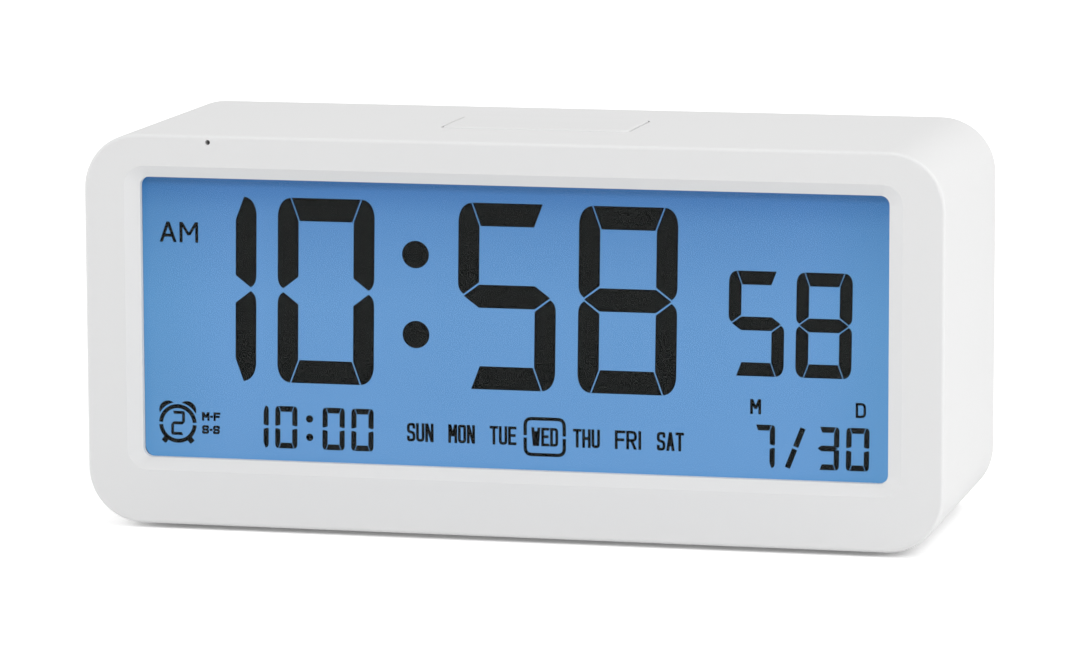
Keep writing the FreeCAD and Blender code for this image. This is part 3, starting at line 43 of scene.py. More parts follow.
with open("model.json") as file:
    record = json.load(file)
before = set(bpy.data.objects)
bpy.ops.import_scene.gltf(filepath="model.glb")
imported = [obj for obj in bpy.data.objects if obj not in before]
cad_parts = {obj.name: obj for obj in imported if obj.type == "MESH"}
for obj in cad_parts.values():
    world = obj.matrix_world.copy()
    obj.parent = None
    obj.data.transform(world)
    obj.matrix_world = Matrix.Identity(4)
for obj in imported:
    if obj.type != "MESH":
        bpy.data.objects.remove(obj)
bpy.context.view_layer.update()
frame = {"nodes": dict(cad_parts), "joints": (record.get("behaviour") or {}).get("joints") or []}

MM = 0.001
CASE_BODY = "case"
WHITE = (1.0, 1.0, 1.0)
CASE_LOW, CASE_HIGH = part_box("front_case")
FILM_LOW, FILM_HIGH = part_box("front_polarizer")
FILM_MARGIN = 0.8 * MM
WINDOW_LOW = FILM_LOW.z + FILM_MARGIN
WINDOW_HIGH = FILM_HIGH.z - FILM_MARGIN
WINDOW_SIDE = FILM_HIGH.x - FILM_MARGIN
CELLS = ("battery_cell_top", "battery_cell_middle", "battery_cell_low")
KEYS = ("mode_key", "set_key", "up_key", "down_key", "alarm_key")


def srgb(red, green, blue):
    """A colour given in screen values from 0 to 255, as the linear values that shaders take."""
    share = np.array([red, green, blue]) / 255
    linear = np.where(share <= 0.04045, share / 12.92, ((share + 0.055) / 1.055) ** 2.4)
    return tuple(float(value) for value in linear)


def opaque(colour):
    """A colour with full alpha."""
    return (*colour, 1.0)


class ClockFinish(bpy.types.PropertyGroup):
    """Colours and textures of the clock's materials."""

    case_colour: bpy.props.FloatVectorProperty(
        name="Case", description="White plastic of the case", subtype="COLOR", size=3,
        default=srgb(229, 229, 229))
    key_colour: bpy.props.FloatVectorProperty(
        name="Keys", description="White plastic of the keys", subtype="COLOR", size=3,
        default=srgb(229, 229, 229))
    case_roughness: bpy.props.FloatProperty(
        name="Case roughness", description="Mean roughness of the case", subtype="FACTOR",
        default=0.52, min=0.0, max=1.0)
    grain_size: bpy.props.FloatProperty(
        name="Grain", description="Size of the moulded grain", unit="LENGTH", default=0.35 * MM)
    grain_depth: bpy.props.FloatProperty(
        name="Grain depth", description="Depth of the moulded grain", unit="LENGTH", default=0.008 * MM)
    ink_colour: bpy.props.FloatVectorProperty(
        name="Ink", description="Printed marks on the rear cover", subtype="COLOR", size=3,
        default=srgb(112, 114, 117))
    board_colour: bpy.props.FloatVectorProperty(
        name="Board", description="Solder mask of the circuit boards", subtype="COLOR", size=3,
        default=srgb(24, 88, 46))
    jacket_colour: bpy.props.FloatVectorProperty(
        name="Cell jacket", description="Jacket of the battery cells", subtype="COLOR", size=3,
        default=srgb(44, 52, 66))


class ClockDisplay(bpy.types.PropertyGroup):
    """Sizes and colours of what the display shows. Heights count from the window's lower edge."""

    lit_colour: bpy.props.FloatVectorProperty(
        name="Lit colour", description="Backlight in the middle of the display", subtype="COLOR", size=3,
        default=srgb(99, 152, 206))
    # Upper edge colour: partly the backlight's own falloff, partly painted shade from the frame over the
    # window
    edge_backlight_and_shade: bpy.props.FloatVectorProperty(
        name="Edge colour", description="Backlight along the upper edge", subtype="COLOR", size=3,
        default=srgb(52, 106, 168))
    mark_colour: bpy.props.FloatVectorProperty(
        name="Mark colour", description="Driven marks of the display", subtype="COLOR", size=3,
        default=srgb(17, 20, 19))
    mark_depth: bpy.props.FloatProperty(
        name="Mark depth", description="Marks in front of the film", unit="LENGTH", default=0.06 * MM)
    time_low: bpy.props.FloatProperty(
        name="Time low", description="Lower end of the time digits", unit="LENGTH", default=12.45 * MM)
    time_height: bpy.props.FloatProperty(
        name="Time height", description="Height of the time digits", unit="LENGTH", default=30.0 * MM)
    time_width: bpy.props.FloatProperty(
        name="Time width", description="Width of a time digit", unit="LENGTH", default=16.04 * MM)
    time_stroke: bpy.props.FloatProperty(
        name="Time stroke", description="Upright stroke of a time digit", unit="LENGTH", default=3.45 * MM)
    lean: bpy.props.FloatProperty(
        name="Lean", description="How far the digits lean to the right", subtype="ANGLE",
        default=math.radians(0.78))
    seconds_low: bpy.props.FloatProperty(
        name="Seconds low", description="Lower end of the seconds", unit="LENGTH", default=16.05 * MM)
    seconds_height: bpy.props.FloatProperty(
        name="Seconds height", description="Height of the seconds", unit="LENGTH", default=16.75 * MM)
    small_low: bpy.props.FloatProperty(
        name="Small low", description="Lower end of the small digits", unit="LENGTH", default=1.7 * MM)
    small_height: bpy.props.FloatProperty(
        name="Small height", description="Height of the small digits", unit="LENGTH", default=6.9 * MM)
    small_width: bpy.props.FloatProperty(
        name="Small width", description="Width of a small digit", unit="LENGTH", default=3.7 * MM)
    day_left: bpy.props.FloatProperty(
        name="Days left", description="Left end of the row of days", unit="LENGTH", default=-17.65 * MM)
    day_low: bpy.props.FloatProperty(
        name="Days low", description="Lower end of the row of days", unit="LENGTH", default=3.6 * MM)
    day_pitch: bpy.props.FloatProperty(
        name="Day pitch", description="Spacing of the days", unit="LENGTH", default=6.83 * MM)
    day_height: bpy.props.FloatProperty(
        name="Day height", description="Height of a day's letters", unit="LENGTH", default=3.0 * MM)


class ClockRear(bpy.types.PropertyGroup):
    """Sizes of the rear marks and of the battery springs."""

    label_height: bpy.props.FloatProperty(
        name="Label height", description="Height of a rear label", unit="LENGTH", default=1.7 * MM)
    label_gap: bpy.props.FloatProperty(
        name="Label gap", description="Label above its key", unit="LENGTH", default=1.5 * MM)
    label_depth: bpy.props.FloatProperty(
        name="Label depth", description="Thickness of the print", unit="LENGTH", default=0.04 * MM)
    spring_wire: bpy.props.FloatProperty(
        name="Spring wire", description="Diameter of the spring wire", unit="LENGTH", default=0.55 * MM)
    spring_tip: bpy.props.FloatProperty(
        name="Spring tip", description="Outer diameter at the cell", unit="LENGTH", default=3.6 * MM)
    spring_turns: bpy.props.FloatProperty(
        name="Spring turns", description="Turns of a battery spring", default=5.5, min=2.0)


class ClockStudio(bpy.types.PropertyGroup):
    """Camera and light."""

    lens: bpy.props.FloatProperty(
        name="Lens", description="Focal length in millimetres", unit="CAMERA", default=188.87)
    distance: bpy.props.FloatProperty(
        name="Distance", description="Camera from its target", unit="LENGTH", default=895.7 * MM)
    yaw: bpy.props.FloatProperty(
        name="Yaw", description="Camera to the clock's right", subtype="ANGLE", default=math.radians(13.44))
    pitch: bpy.props.FloatProperty(
        name="Pitch", description="Camera looks down", subtype="ANGLE", default=math.radians(8.52))
    roll: bpy.props.FloatProperty(
        name="Roll", description="Camera's tilt", subtype="ANGLE", default=math.radians(-0.19))
    target_x: bpy.props.FloatProperty(
        name="Target across", description="Target from the clock's middle", unit="LENGTH", default=5.22 * MM)
    target_z: bpy.props.FloatProperty(
        name="Target height", description="Target above the floor", unit="LENGTH", default=34.37 * MM)
    ambient: bpy.props.FloatProperty(
        name="Ambient", description="Light from all round", default=0.6)
    side_power: bpy.props.FloatProperty(
        name="Side lamp", description="Power of the lamp at the right", unit="POWER", default=4.7)
    key_power: bpy.props.FloatProperty(
        name="Key lamp", description="Power of the lamp in front at the right", unit="POWER", default=0.3)
    top_power: bpy.props.FloatProperty(
        name="Top lamp", description="Power of the lamp above", unit="POWER", default=7.45)
    fill_power: bpy.props.FloatProperty(
        name="Fill lamp", description="Power of the lamp at the left", unit="POWER", default=6.8)
    rear_power: bpy.props.FloatProperty(
        name="Rear lamp", description="Power of the lamp behind the clock", unit="POWER", default=3.0)
    # The lift falls under and beside the clock: a painted contact shadow on top of the floor's real shadow
    floor_lift: bpy.props.FloatProperty(
        name="Floor lift", description="White added to the floor, less under the clock", default=0.36)


def curve(start, corner, end, steps=6):
    """Quadratic curves as arrays: (1 - t)^2 start + 2 t (1 - t) corner + t^2 end, for t from 0 to 1."""
    start, corner, end = (np.asarray(point, float)[..., None, :] for point in (start, corner, end))
    share = np.linspace(0, 1, steps)[:, None]
    return (1 - share) ** 2 * start + 2 * share * (1 - share) * corner + share ** 2 * end


def bend(points, radius):
    """A path with its inner corners rounded: each gives way to a curve that starts and ends a radius off."""
    points = np.asarray(points, float)
    if radius == 0 or len(points) < 3:
        return points
    ways = np.diff(points, axis=0)
    lengths = np.linalg.norm(ways, axis=1, keepdims=True)
    ways = ways / lengths
    reach = np.minimum(radius, 0.49 * np.minimum(lengths[:-1], lengths[1:]))
    corners = points[1:-1]
    rounds = curve(corners - ways[:-1] * reach, corners, corners + ways[1:] * reach)
    return np.vstack([points[:1], rounds.reshape(-1, 2), points[-1:]])


def capped(path, length):
    """A path with both ends carried on by a length."""
    path = np.array(path, float)
    for end, inner in ((0, 1), (-1, -2)):
        way = path[end] - path[inner]
        path[end] += way * length / np.linalg.norm(way)
    return path


def arc(centre, radius, start, end, steps=24):
    """Points of a circle: centre + radius (cos a, sin a), for a from start to end in degrees."""
    angle = np.radians(np.linspace(start, end, steps))
    return np.asarray(centre) + radius * np.column_stack([np.cos(angle), np.sin(angle)])


def plate(outline, back, front):
    """A flat prism: the outline, in x and z, at two depths, with a wall between them."""
    outline = np.asarray(outline, float)
    x, z = outline.T
    if np.sum(x * np.roll(z, -1) - np.roll(x, -1) * z) < 0:
        x, z = x[::-1], z[::-1]
    count = len(x)
    depths = np.repeat([front, back], count)
    points = np.column_stack([np.tile(x, 2), depths, np.tile(z, 2)])
    here = np.arange(count)
    following = (here + 1) % count
    walls = np.column_stack([here, here + count, following + count, following])
    return points, [here.tolist(), (here[::-1] + count).tolist(), *walls.tolist()]


def bar(path, width, back, front):
    """A flat strip: a rectangle of the given width, between two depths, carried along a path in x and z.

    At each point it stands along the mean of the two normals there, lengthened by the mitre."""
    path = np.asarray(path, float)
    ways = np.diff(path, axis=0)
    ways = ways / np.linalg.norm(ways, axis=1, keepdims=True)
    normals = np.column_stack([-ways[:, 1], ways[:, 0]])
    before = np.vstack([normals[:1], normals])
    after = np.vstack([normals, normals[-1:]])
    closed = np.allclose(path[0], path[-1])
    if closed:
        before[0] = normals[-1]
        after[-1] = normals[0]
    middle = before + after
    middle = middle / np.maximum(np.linalg.norm(middle, axis=1, keepdims=True), 1e-9)
    mitre = 1 / np.maximum(np.sum(middle * after, axis=1, keepdims=True), 0.55)
    side = middle * mitre * width / 2
    left = path + side
    right = path - side
    corners = [(left, front), (right, front), (right, back), (left, back)]
    stations = np.stack([np.insert(flat, 1, depth, axis=1) for flat, depth in corners], axis=1)
    return ring_strip(stations, closed)


def ring_strip(stations, closed):
    """Faces between rings of points along a path, and the two end faces unless the path is closed."""
    count, sides, _ = stations.shape
    if closed:
        stations = stations[:-1]
        count -= 1
    first = np.arange(count if closed else count - 1)
    ahead = (first + 1) % count
    corner = np.arange(sides)
    turn = (corner + 1) % sides
    here = first[:, None] * sides
    there = ahead[:, None] * sides
    quads = np.stack([here + corner, here + turn, there + turn, there + corner], axis=-1).reshape(-1, 4)
    faces = quads.tolist()
    if not closed:
        faces += [corner[::-1].tolist(), (corner + (count - 1) * sides).tolist()]
    return stations.reshape(-1, 3), faces


def joined(shapes):
    """Many shapes as one: their points in a row, and each shape's faces counted on from the last."""
    shifts = np.cumsum([0] + [len(points) for points, _ in shapes])
    faces = [
        [index + int(shift) for index in face]
        for (_, shape_faces), shift in zip(shapes, shifts)
        for face in shape_faces
    ]
    return np.vstack([points for points, _ in shapes]), faces


def moved(shape, turn=0.0, place=(0.0, 0.0, 0.0)):
    """A shape turned about Z by an angle in radians and then moved."""
    points, faces = shape
    spin = np.array(Matrix.Rotation(turn, 3, "Z"))
    return points @ spin.T + np.asarray(place), faces


def add_piece(name, shapes, material, smooth=False):
    """One mesh object of the given shapes, which rides on the case."""
    points, faces = joined(shapes)
    mesh = bpy.data.meshes.new(name)
    mesh.from_pydata(points.tolist(), [], faces)
    mesh.polygons.foreach_set("use_smooth", [smooth] * len(mesh.polygons))
    mesh.materials.append(material)
    mesh.update()
    piece = bpy.data.objects.new(name, mesh)
    bpy.context.scene.collection.objects.link(piece)
    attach(piece, CASE_BODY)
    return piece


def paint(material, *names):
    """Give construction nodes a material."""
    for name in names:
        mesh = frame["nodes"][name].data
        mesh.materials.clear()
        mesh.materials.append(material)


def add_node(tree, kind, inputs=(), **settings):
    """A shader node with its settings, and its inputs set to values or linked to sockets."""
    node = tree.nodes.new(kind)
    for name, value in settings.items():
        setattr(node, name, value)
    for name, value in dict(inputs).items():
        if isinstance(value, bpy.types.NodeSocket):
            tree.links.new(value, node.inputs[name])
        else:
            node.inputs[name].default_value = value
    return node


def new_group(name, inputs, outputs):
    """An empty node group with named sockets, given as name, kind and default."""
    tree = bpy.data.node_groups.new(name, "ShaderNodeTree")
    for label, kind, default in inputs:
        socket = tree.interface.new_socket(label, in_out="INPUT", socket_type=kind)
        socket.default_value = default
    for label, kind in outputs:
        tree.interface.new_socket(label, in_out="OUTPUT", socket_type=kind)
    source = tree.nodes.new("NodeGroupInput")
    result = tree.nodes.new("NodeGroupOutput")
    return tree, source.outputs, result.inputs


def object_place(tree):
    """Where a point is in the object's own frame."""
    return add_node(tree, "ShaderNodeTexCoord").outputs["Object"]


def noise(tree, place, scale, detail):
    """Noise from 0 to 1 over a place, with so many cells in a metre."""
    inputs = {"Vector": place, "Scale": scale, "Detail": detail}
    return add_node(tree, "ShaderNodeTexNoise", inputs).outputs["Fac"]


def maths(tree, operation, *values):
    """The result of a sum on values or sockets."""
    return add_node(tree, "ShaderNodeMath", dict(enumerate(values)), operation=operation).outputs[0]


def product(tree, first, second):
    """Two colours or vectors multiplied part by part."""
    return add_node(tree, "ShaderNodeVectorMath", {0: first, 1: second}, operation="MULTIPLY").outputs[0]


def mixed(tree, share, first, second):
    """One colour giving way to another as the share goes from 0 to 1."""
    inputs = {"Factor": share, 6: first, 7: second}
    return add_node(tree, "ShaderNodeMix", inputs, data_type="RGBA").outputs[2]


def scaled(tree, colour, amount):
    """A colour times a value."""
    if isinstance(colour, tuple):
        colour = colour[:3]
    node = add_node(tree, "ShaderNodeVectorMath", {0: colour, "Scale": amount}, operation="SCALE")
    return node.outputs[0]


def ranged(tree, value, low, high, start, end, smooth=False):
    """A value carried from one range to another."""
    kind = "SMOOTHSTEP" if smooth else "LINEAR"
    inputs = {"Value": value, "From Min": low, "From Max": high, "To Min": start, "To Max": end}
    return add_node(tree, "ShaderNodeMapRange", inputs, interpolation_type=kind).outputs["Result"]


def grain_group():
    """Moulded grain: fine noise gives height and gloss, broad noise shifts the tone a little."""
    name = "moulded_grain"
    if name in bpy.data.node_groups:
        return bpy.data.node_groups[name]
    colour, value = "NodeSocketColor", "NodeSocketFloat"
    tree, given, result = new_group(
        name,
        [("Colour", colour, (0.8, 0.8, 0.8, 1.0)), ("Size", value, 0.35 * MM), ("Tone", value, 0.012),
         ("Roughness", value, 0.5), ("Roughness spread", value, 0.12)],
        [("Colour", colour), ("Roughness", value), ("Height", value)],
    )
    place = object_place(tree)
    fine = noise(tree, place, maths(tree, "DIVIDE", 1.0, given["Size"]), 2.0)
    broad = noise(tree, place, 22.0, 1.0)
    shift = maths(tree, "MULTIPLY_ADD", maths(tree, "SUBTRACT", broad, 0.5), given["Tone"], 1.0)
    tree.links.new(scaled(tree, given["Colour"], shift), result["Colour"])
    centred = maths(tree, "SUBTRACT", fine, 0.5)
    rough = maths(tree, "MULTIPLY_ADD", centred, given["Roughness spread"], given["Roughness"])
    tree.links.new(rough, result["Roughness"])
    tree.links.new(fine, result["Height"])
    return tree


def brush_group():
    """Drawn metal: noise stretched along one axis gives fine lines in tone, gloss and height."""
    name = "drawn_metal"
    if name in bpy.data.node_groups:
        return bpy.data.node_groups[name]
    colour, value = "NodeSocketColor", "NodeSocketFloat"
    tree, given, result = new_group(
        name,
        [("Colour", colour, (0.7, 0.7, 0.7, 1.0)), ("Stretch", "NodeSocketVector", (1.0, 1.0, 1.0)),
         ("Roughness", value, 0.3)],
        [("Colour", colour), ("Roughness", value), ("Height", value)],
    )
    place = object_place(tree)
    lines = noise(tree, product(tree, place, given["Stretch"]), 3000.0, 3.0)
    stains = noise(tree, place, 160.0, 2.0)
    tone = ranged(tree, lines, 0.2, 0.8, 0.88, 1.06)
    tree.links.new(scaled(tree, given["Colour"], tone), result["Colour"])
    rough = maths(tree, "ADD", ranged(tree, stains, 0.3, 0.7, -0.05, 0.09), given["Roughness"])
    tree.links.new(rough, result["Roughness"])
    tree.links.new(lines, result["Height"])
    return tree


def new_material(name):
    """A material with its tree and shader."""
    material = bpy.data.materials.new(name)
    material.use_nodes = True
    tree = material.node_tree
    return material, tree, tree.nodes["Principled BSDF"]


def bump(tree, shader, height, distance):
    """Feed a height to the shader's normal."""
    node = add_node(tree, "ShaderNodeBump", {"Height": height, "Strength": 1.0, "Distance": distance})
    tree.links.new(node.outputs["Normal"], shader.inputs["Normal"])


def add_surface(tree, shader, effect, values, depth):
    """Feed the shader's colour, roughness and normal from a group with its own values."""
    surface = add_node(tree, "ShaderNodeGroup", node_tree=effect)
    for label, value in values.items():
        surface.inputs[label].default_value = value
    tree.links.new(surface.outputs["Colour"], shader.inputs["Base Color"])
    tree.links.new(surface.outputs["Roughness"], shader.inputs["Roughness"])
    bump(tree, shader, surface.outputs["Height"], depth)


def grained(name, colour, roughness, size=0.35 * MM, depth=0.008 * MM, tone=0.012, specular=0.5):
    """A moulded material with fine grain."""
    material, tree, shader = new_material(name)
    values = {"Colour": opaque(colour), "Size": size, "Tone": tone, "Roughness": roughness}
    add_surface(tree, shader, grain_group(), values, depth)
    shader.inputs["Specular IOR Level"].default_value = specular
    return material


def metal(name, colour, roughness, stretch=(1.0, 0.08, 1.0)):
    """A drawn or plated metal."""
    material, tree, shader = new_material(name)
    values = {"Colour": opaque(colour), "Stretch": stretch, "Roughness": roughness}
    add_surface(tree, shader, brush_group(), values, 0.004 * MM)
    shader.inputs["Metallic"].default_value = 1.0
    return material


def clear(name, colour, roughness, index):
    """A clear sheet whose gloss varies a little with faint smears."""
    material, tree, shader = new_material(name)
    smears = noise(tree, object_place(tree), 60.0, 3.0)
    gloss = ranged(tree, smears, 0.35, 0.75, roughness, roughness + 0.03)
    tree.links.new(gloss, shader.inputs["Roughness"])
    shader.inputs["Base Color"].default_value = opaque(colour)
    shader.inputs["Transmission Weight"].default_value = 1.0
    shader.inputs["IOR"].default_value = index
    return material


def ink(name, colour):
    """A thin printed layer with a slightly uneven tone and no sheen."""
    material, tree, shader = new_material(name)
    tone = ranged(tree, noise(tree, object_place(tree), 900.0, 2.0), 0.3, 0.7, 0.9, 1.1)
    tree.links.new(scaled(tree, opaque(colour), tone), shader.inputs["Base Color"])
    shader.inputs["Roughness"].default_value = 0.7
    shader.inputs["Specular IOR Level"].default_value = 0.0
    return material


class CLOCK_OT_case_finish(bpy.types.Operator):
    """Finish the case, the rear cover and the battery door in satin white plastic"""

    bl_idname = "clock.case_finish"
    bl_label = "Case"

    def execute(self, context):
        finish = context.scene.clock_finish
        for name, tone in (("front_case", 0.014), ("rear_cover", 0.018), ("battery_door", 0.012)):
            plastic = grained(name + "_plastic", finish.case_colour, finish.case_roughness,
                              finish.grain_size, finish.grain_depth, tone, specular=0.3)
            paint(plastic, name)
        return {"FINISHED"}


class CLOCK_OT_key_finish(bpy.types.Operator):
    """Finish the snooze key, the rear keys and the light slider, a little smoother than the case"""

    bl_idname = "clock.key_finish"
    bl_label = "Keys"

    def execute(self, context):
        finish = context.scene.clock_finish
        roughness = finish.case_roughness - 0.06
        plastic = grained("key_plastic", finish.key_colour, roughness, finish.grain_size,
                          finish.grain_depth / 2, specular=0.35)
        paint(plastic, "snooze_key", "light_switch_slider", *KEYS)
        return {"FINISHED"}


def backlight(settings):
    """The lit film: brightest in the middle, deeper blue towards the sides, and deeper blue towards the upper
    edge, partly from the backlight's own falloff and partly as painted shade from the frame.

    A darker line runs along the upper edge, where the frame shades the film."""
    side_tint = (0.84, 0.94, 0.93, 1.0)
    shade_low = WINDOW_HIGH - 1.9 * MM
    shade_high = WINDOW_HIGH - 0.8 * MM
    material, tree, shader = new_material("lit_display")
    place = object_place(tree)
    parts = add_node(tree, "ShaderNodeSeparateXYZ", {"Vector": place}).outputs
    # The ramp towards the upper edge colour is partly painted shade from the frame above the window
    fade_start = WINDOW_HIGH - 0.45 * (WINDOW_HIGH - WINDOW_LOW)
    near_top = ranged(tree, parts["Z"], fade_start, WINDOW_HIGH, 0.0, 1.0)
    ramp = add_node(tree, "ShaderNodeValToRGB", {"Fac": near_top})
    ramp.color_ramp.interpolation = "B_SPLINE"
    stops = ramp.color_ramp.elements
    stops[0].color = opaque(settings.lit_colour)
    stops[1].color = opaque(settings.edge_backlight_and_shade)
    between = stops.new(0.72)
    between.color = opaque(np.array(settings.lit_colour) * 0.6 + np.array(settings.edge_backlight_and_shade) * 0.4)
    across = maths(tree, "ABSOLUTE", parts["X"])
    near_side = ranged(tree, across, 0.75 * WINDOW_SIDE, WINDOW_SIDE, 0.0, 1.0, smooth=True)
    tinted = product(tree, ramp.outputs["Color"], mixed(tree, near_side, opaque(WHITE), side_tint))
    unevenness = ranged(tree, noise(tree, place, 35.0, 1.0), 0.3, 0.7, 0.985, 1.015)
    shade = ranged(tree, parts["Z"], shade_low, shade_high, 1.0, 0.74, smooth=True)
    lit = scaled(tree, tinted, maths(tree, "MULTIPLY", unevenness, shade))
    tree.links.new(lit, shader.inputs["Emission Color"])
    shader.inputs["Emission Strength"].default_value = 1.0
    shader.inputs["Base Color"].default_value = opaque(srgb(18, 26, 36))
    shader.inputs["Roughness"].default_value = 0.5
    shader.inputs["Specular IOR Level"].default_value = 0.1
    return material


class CLOCK_OT_display_finish(bpy.types.Operator):
    """Finish the clear lens, the glass, the films and the light guide"""

    bl_idname = "clock.display_finish"
    bl_label = "Display sheets"

    def execute(self, context):
        paint(clear("clear_lens", WHITE, 0.0, 1.17), "display_lens")
        paint(backlight(context.scene.clock_display), "front_polarizer")
        paint(clear("display_glass", srgb(232, 245, 240), 0.0, 1.52), "front_glass", "rear_glass")
        paint(clear("guide_plastic", srgb(238, 246, 255), 0.15, 1.49), "light_guide")
        film = grained("display_film", srgb(212, 220, 232), 0.35, size=1.5 * MM, tone=0.05)
        paint(film, "rear_polarizer", "diffuser_film", "reflector_film")
        return {"FINISHED"}


SEGMENTS = {
    "0": "abcdef", "1": "bc", "2": "abdeg", "3": "abcdg", "5": "acdfg", "7": "abc", "8": "abcdefg",
}


def digit(figure, right, low, height, width, stroke, gap, split, slant, lean):
    """Outlines of the driven segments of one seven-part digit, sheared to the right by its lean.

    Segment f is drawn once, from its lower tip round to its rounded outer corner, with u counted in from
    the side and w up from the middle. Mirrors in u and w make b, c and e. The end bars are trapezoids
    between the uprights, and the middle bar is a hexagon with its tips out."""
    half = height / 2
    thick = 1.08 * stroke
    tip = 0.27 * stroke
    round_in = 0.6 * stroke
    round_down = 0.78 * stroke
    pull = 0.08 * stroke
    inner = [(tip, split), (stroke, split + slant), (stroke, half - thick)]
    outer = curve((round_in, half), (pull, half - pull), (0, half - round_down))
    heel = curve((0, split + slant), (0, split + 0.5 * slant), (tip / 2, split + 0.2 * slant))
    upright = np.vstack([inner, outer, heel])
    side = stroke + gap
    end_bar = np.array([
        (side, half - thick), (width - side, half - thick),
        (width - round_in - gap, half), (round_in + gap, half)])
    middle_bar = np.array([
        (tip, 0), (stroke, -thick / 2), (width - stroke, -thick / 2), (width - tip, 0),
        (width - stroke, thick / 2), (stroke, thick / 2)])
    opposite = np.column_stack([width - upright[:, 0], upright[:, 1]])
    below = (1, -1)
    shapes = {
        "a": end_bar, "d": end_bar * below, "g": middle_bar, "f": upright, "b": opposite,
        "e": upright * below, "c": opposite * below,
    }
    shear = np.array([[1.0, 0.0], [math.tan(lean), 1.0]])
    corner = (right - width, WINDOW_LOW + low + half)
    return [shapes[name] @ shear + corner for name in SEGMENTS[figure]]


SLANTED = -1
LETTERS = {
    "A": [(SLANTED, [(0, 0), (0.5, 1)]), (SLANTED, [(1, 0), (0.5, 1)]), (0, [(0.2, 0.3), (0.8, 0.3)])],
    "D": [(0, [(0, 0), (0, 1)]), (0.45, [(0, 1), (1, 1), (1, 0), (0, 0)])],
    "E": [(0, [(1, 1), (0, 1), (0, 0), (1, 0)]), (0, [(0, 0.52), (0.85, 0.52)])],
    "F": [(0, [(1, 1), (0, 1), (0, 0)]), (0, [(0, 0.5), (0.85, 0.5)])],
    "G": [(0.45, [(1, 0.84), (1, 1), (0, 1), (0, 0), (1, 0), (1, 0.46), (0.55, 0.46)])],
    "H": [(0, [(0, 0), (0, 1)]), (0, [(1, 0), (1, 1)]), (0, [(0, 0.5), (1, 0.5)])],
    "I": [(0, [(0.5, 0), (0.5, 1)])],
    "L": [(0, [(0, 1), (0, 0), (1, 0)])],
    "M": [(0, [(0, 0), (0, 1)]), (0, [(1, 0), (1, 1)]), (SLANTED, [(0.5, 0.35), (0, 1)]),
          (SLANTED, [(0.5, 0.35), (1, 1)])],
    "N": [(0, [(0, 0), (0, 1)]), (0, [(1, 0), (1, 1)]), (SLANTED, [(1, 0), (0, 1)])],
    "O": [(0.45, [(0.5, 1), (0, 1), (0, 0), (1, 0), (1, 1), (0.5, 1)])],
    "P": [(0, [(0, 0), (0, 1)]), (0.45, [(0, 1), (1, 1), (1, 0.46), (0, 0.46)])],
    "R": [(0, [(0, 0), (0, 1)]), (0.45, [(0, 1), (1, 1), (1, 0.48), (0, 0.48)]),
          (SLANTED, [(1, 0), (0.5, 0.48)])],
    "S": [(0.45, [(1, 0.82), (1, 1), (0, 1), (0, 0.53), (1, 0.47), (1, 0), (0, 0), (0, 0.18)])],
    "T": [(0, [(0, 1), (1, 1)]), (0, [(0.5, 1), (0.5, 0)])],
    "U": [(0.45, [(0, 1), (0, 0), (1, 0), (1, 1)])],
    "W": [(SLANTED, [(0.25, 0), (0, 1)]), (SLANTED, [(0.25, 0), (0.5, 0.8)]),
          (SLANTED, [(0.75, 0), (0.5, 0.8)]), (SLANTED, [(0.75, 0), (1, 1)])],
    "-": [(0, [(0, 0.48), (1, 0.48)])],
}
LETTER_WIDTHS = {"I": 0.4, "-": 0.42, "M": 1.1, "W": 1.15}


def word_length(text, width, space):
    """Length of a word from its letters and the spaces between them."""
    return sum(LETTER_WIDTHS.get(letter, 1.0) * width + space for letter in text) - space


def slanted(foot, head, across, back, front):
    """A slanting stroke between two heights, cut level at both ends."""
    half = np.array([across / 2, 0])
    return plate([foot - half, foot + half, head + half, head - half], back, front)


def word(text, left, low, height, width, stroke, space, back, front):
    """The strokes of a word: each letter's lines, drawn in a unit cell, scaled to its box and given width."""
    shapes = []
    across = 1.08 * stroke
    for letter in text:
        wide = LETTER_WIDTHS.get(letter, 1.0) * width
        inset = np.array([stroke, stroke])
        box = np.array([wide, height])
        for rounding, points in LETTERS[letter]:
            points = np.array(points)
            if rounding == SLANTED:
                cut = np.array([across, 0])
                foot, head = points * (box - cut) + cut / 2 + (left, low)
                shapes.append(slanted(foot, head, across, back, front))
                continue
            path = capped(bend(points * (box - inset), rounding * (wide - stroke)), stroke / 2)
            shapes.append(bar(path + inset / 2 + (left, low), stroke, back, front))
        left += wide + space
    return shapes


# Places in the display are in millimetres: across from the clock's middle, up from the window's edge.
# A row of digits gives each one's right end. A word gives its left end, low end, height, letter width,
# stroke and letter space.
TIME_ROW = (("1", -42.53), ("0", -22.92), ("5", 6.94), ("8", 26.63))
SECONDS_ROW = (("5", 43.84), ("8", 54.67))
ALARM_ROW = (("1", -40.7), ("0", -35.9), ("0", -28.0), ("0", -23.2))
DATE_ROW = (("7", 42.4), ("3", 52.7), ("0", 57.5))
WORDS = (
    ("AM", -58.65, 34.75, 3.3, 2.85, 0.5, 0.5), ("M-F", -51.9, 5.75, 1.4, 1.15, 0.36, 0.1),
    ("S-S", -51.9, 3.6, 1.4, 1.15, 0.36, 0.1), ("M", 38.4, 10.0, 2.4, 1.6, 0.44, 0.0),
    ("D", 55.3, 9.95, 2.4, 1.65, 0.4, 0.0),
)
DAYS = ("SUN", "MON", "TUE", "WED", "THU", "FRI", "SAT")
FRAMED_DAY = "WED"
DAY_LENGTH = 4.4 * MM


def mark_depths(show):
    """Back and front of the display's marks, which stand on the lit film."""
    return FILM_LOW.y + show.mark_depth / 3, FILM_LOW.y - show.mark_depth


def add_marks(name, shapes, show):
    """One piece of display marks, in the near black of a driven mark."""
    material = bpy.data.materials.get("driven_mark") or ink("driven_mark", show.mark_colour)
    return add_piece(name, shapes, material)


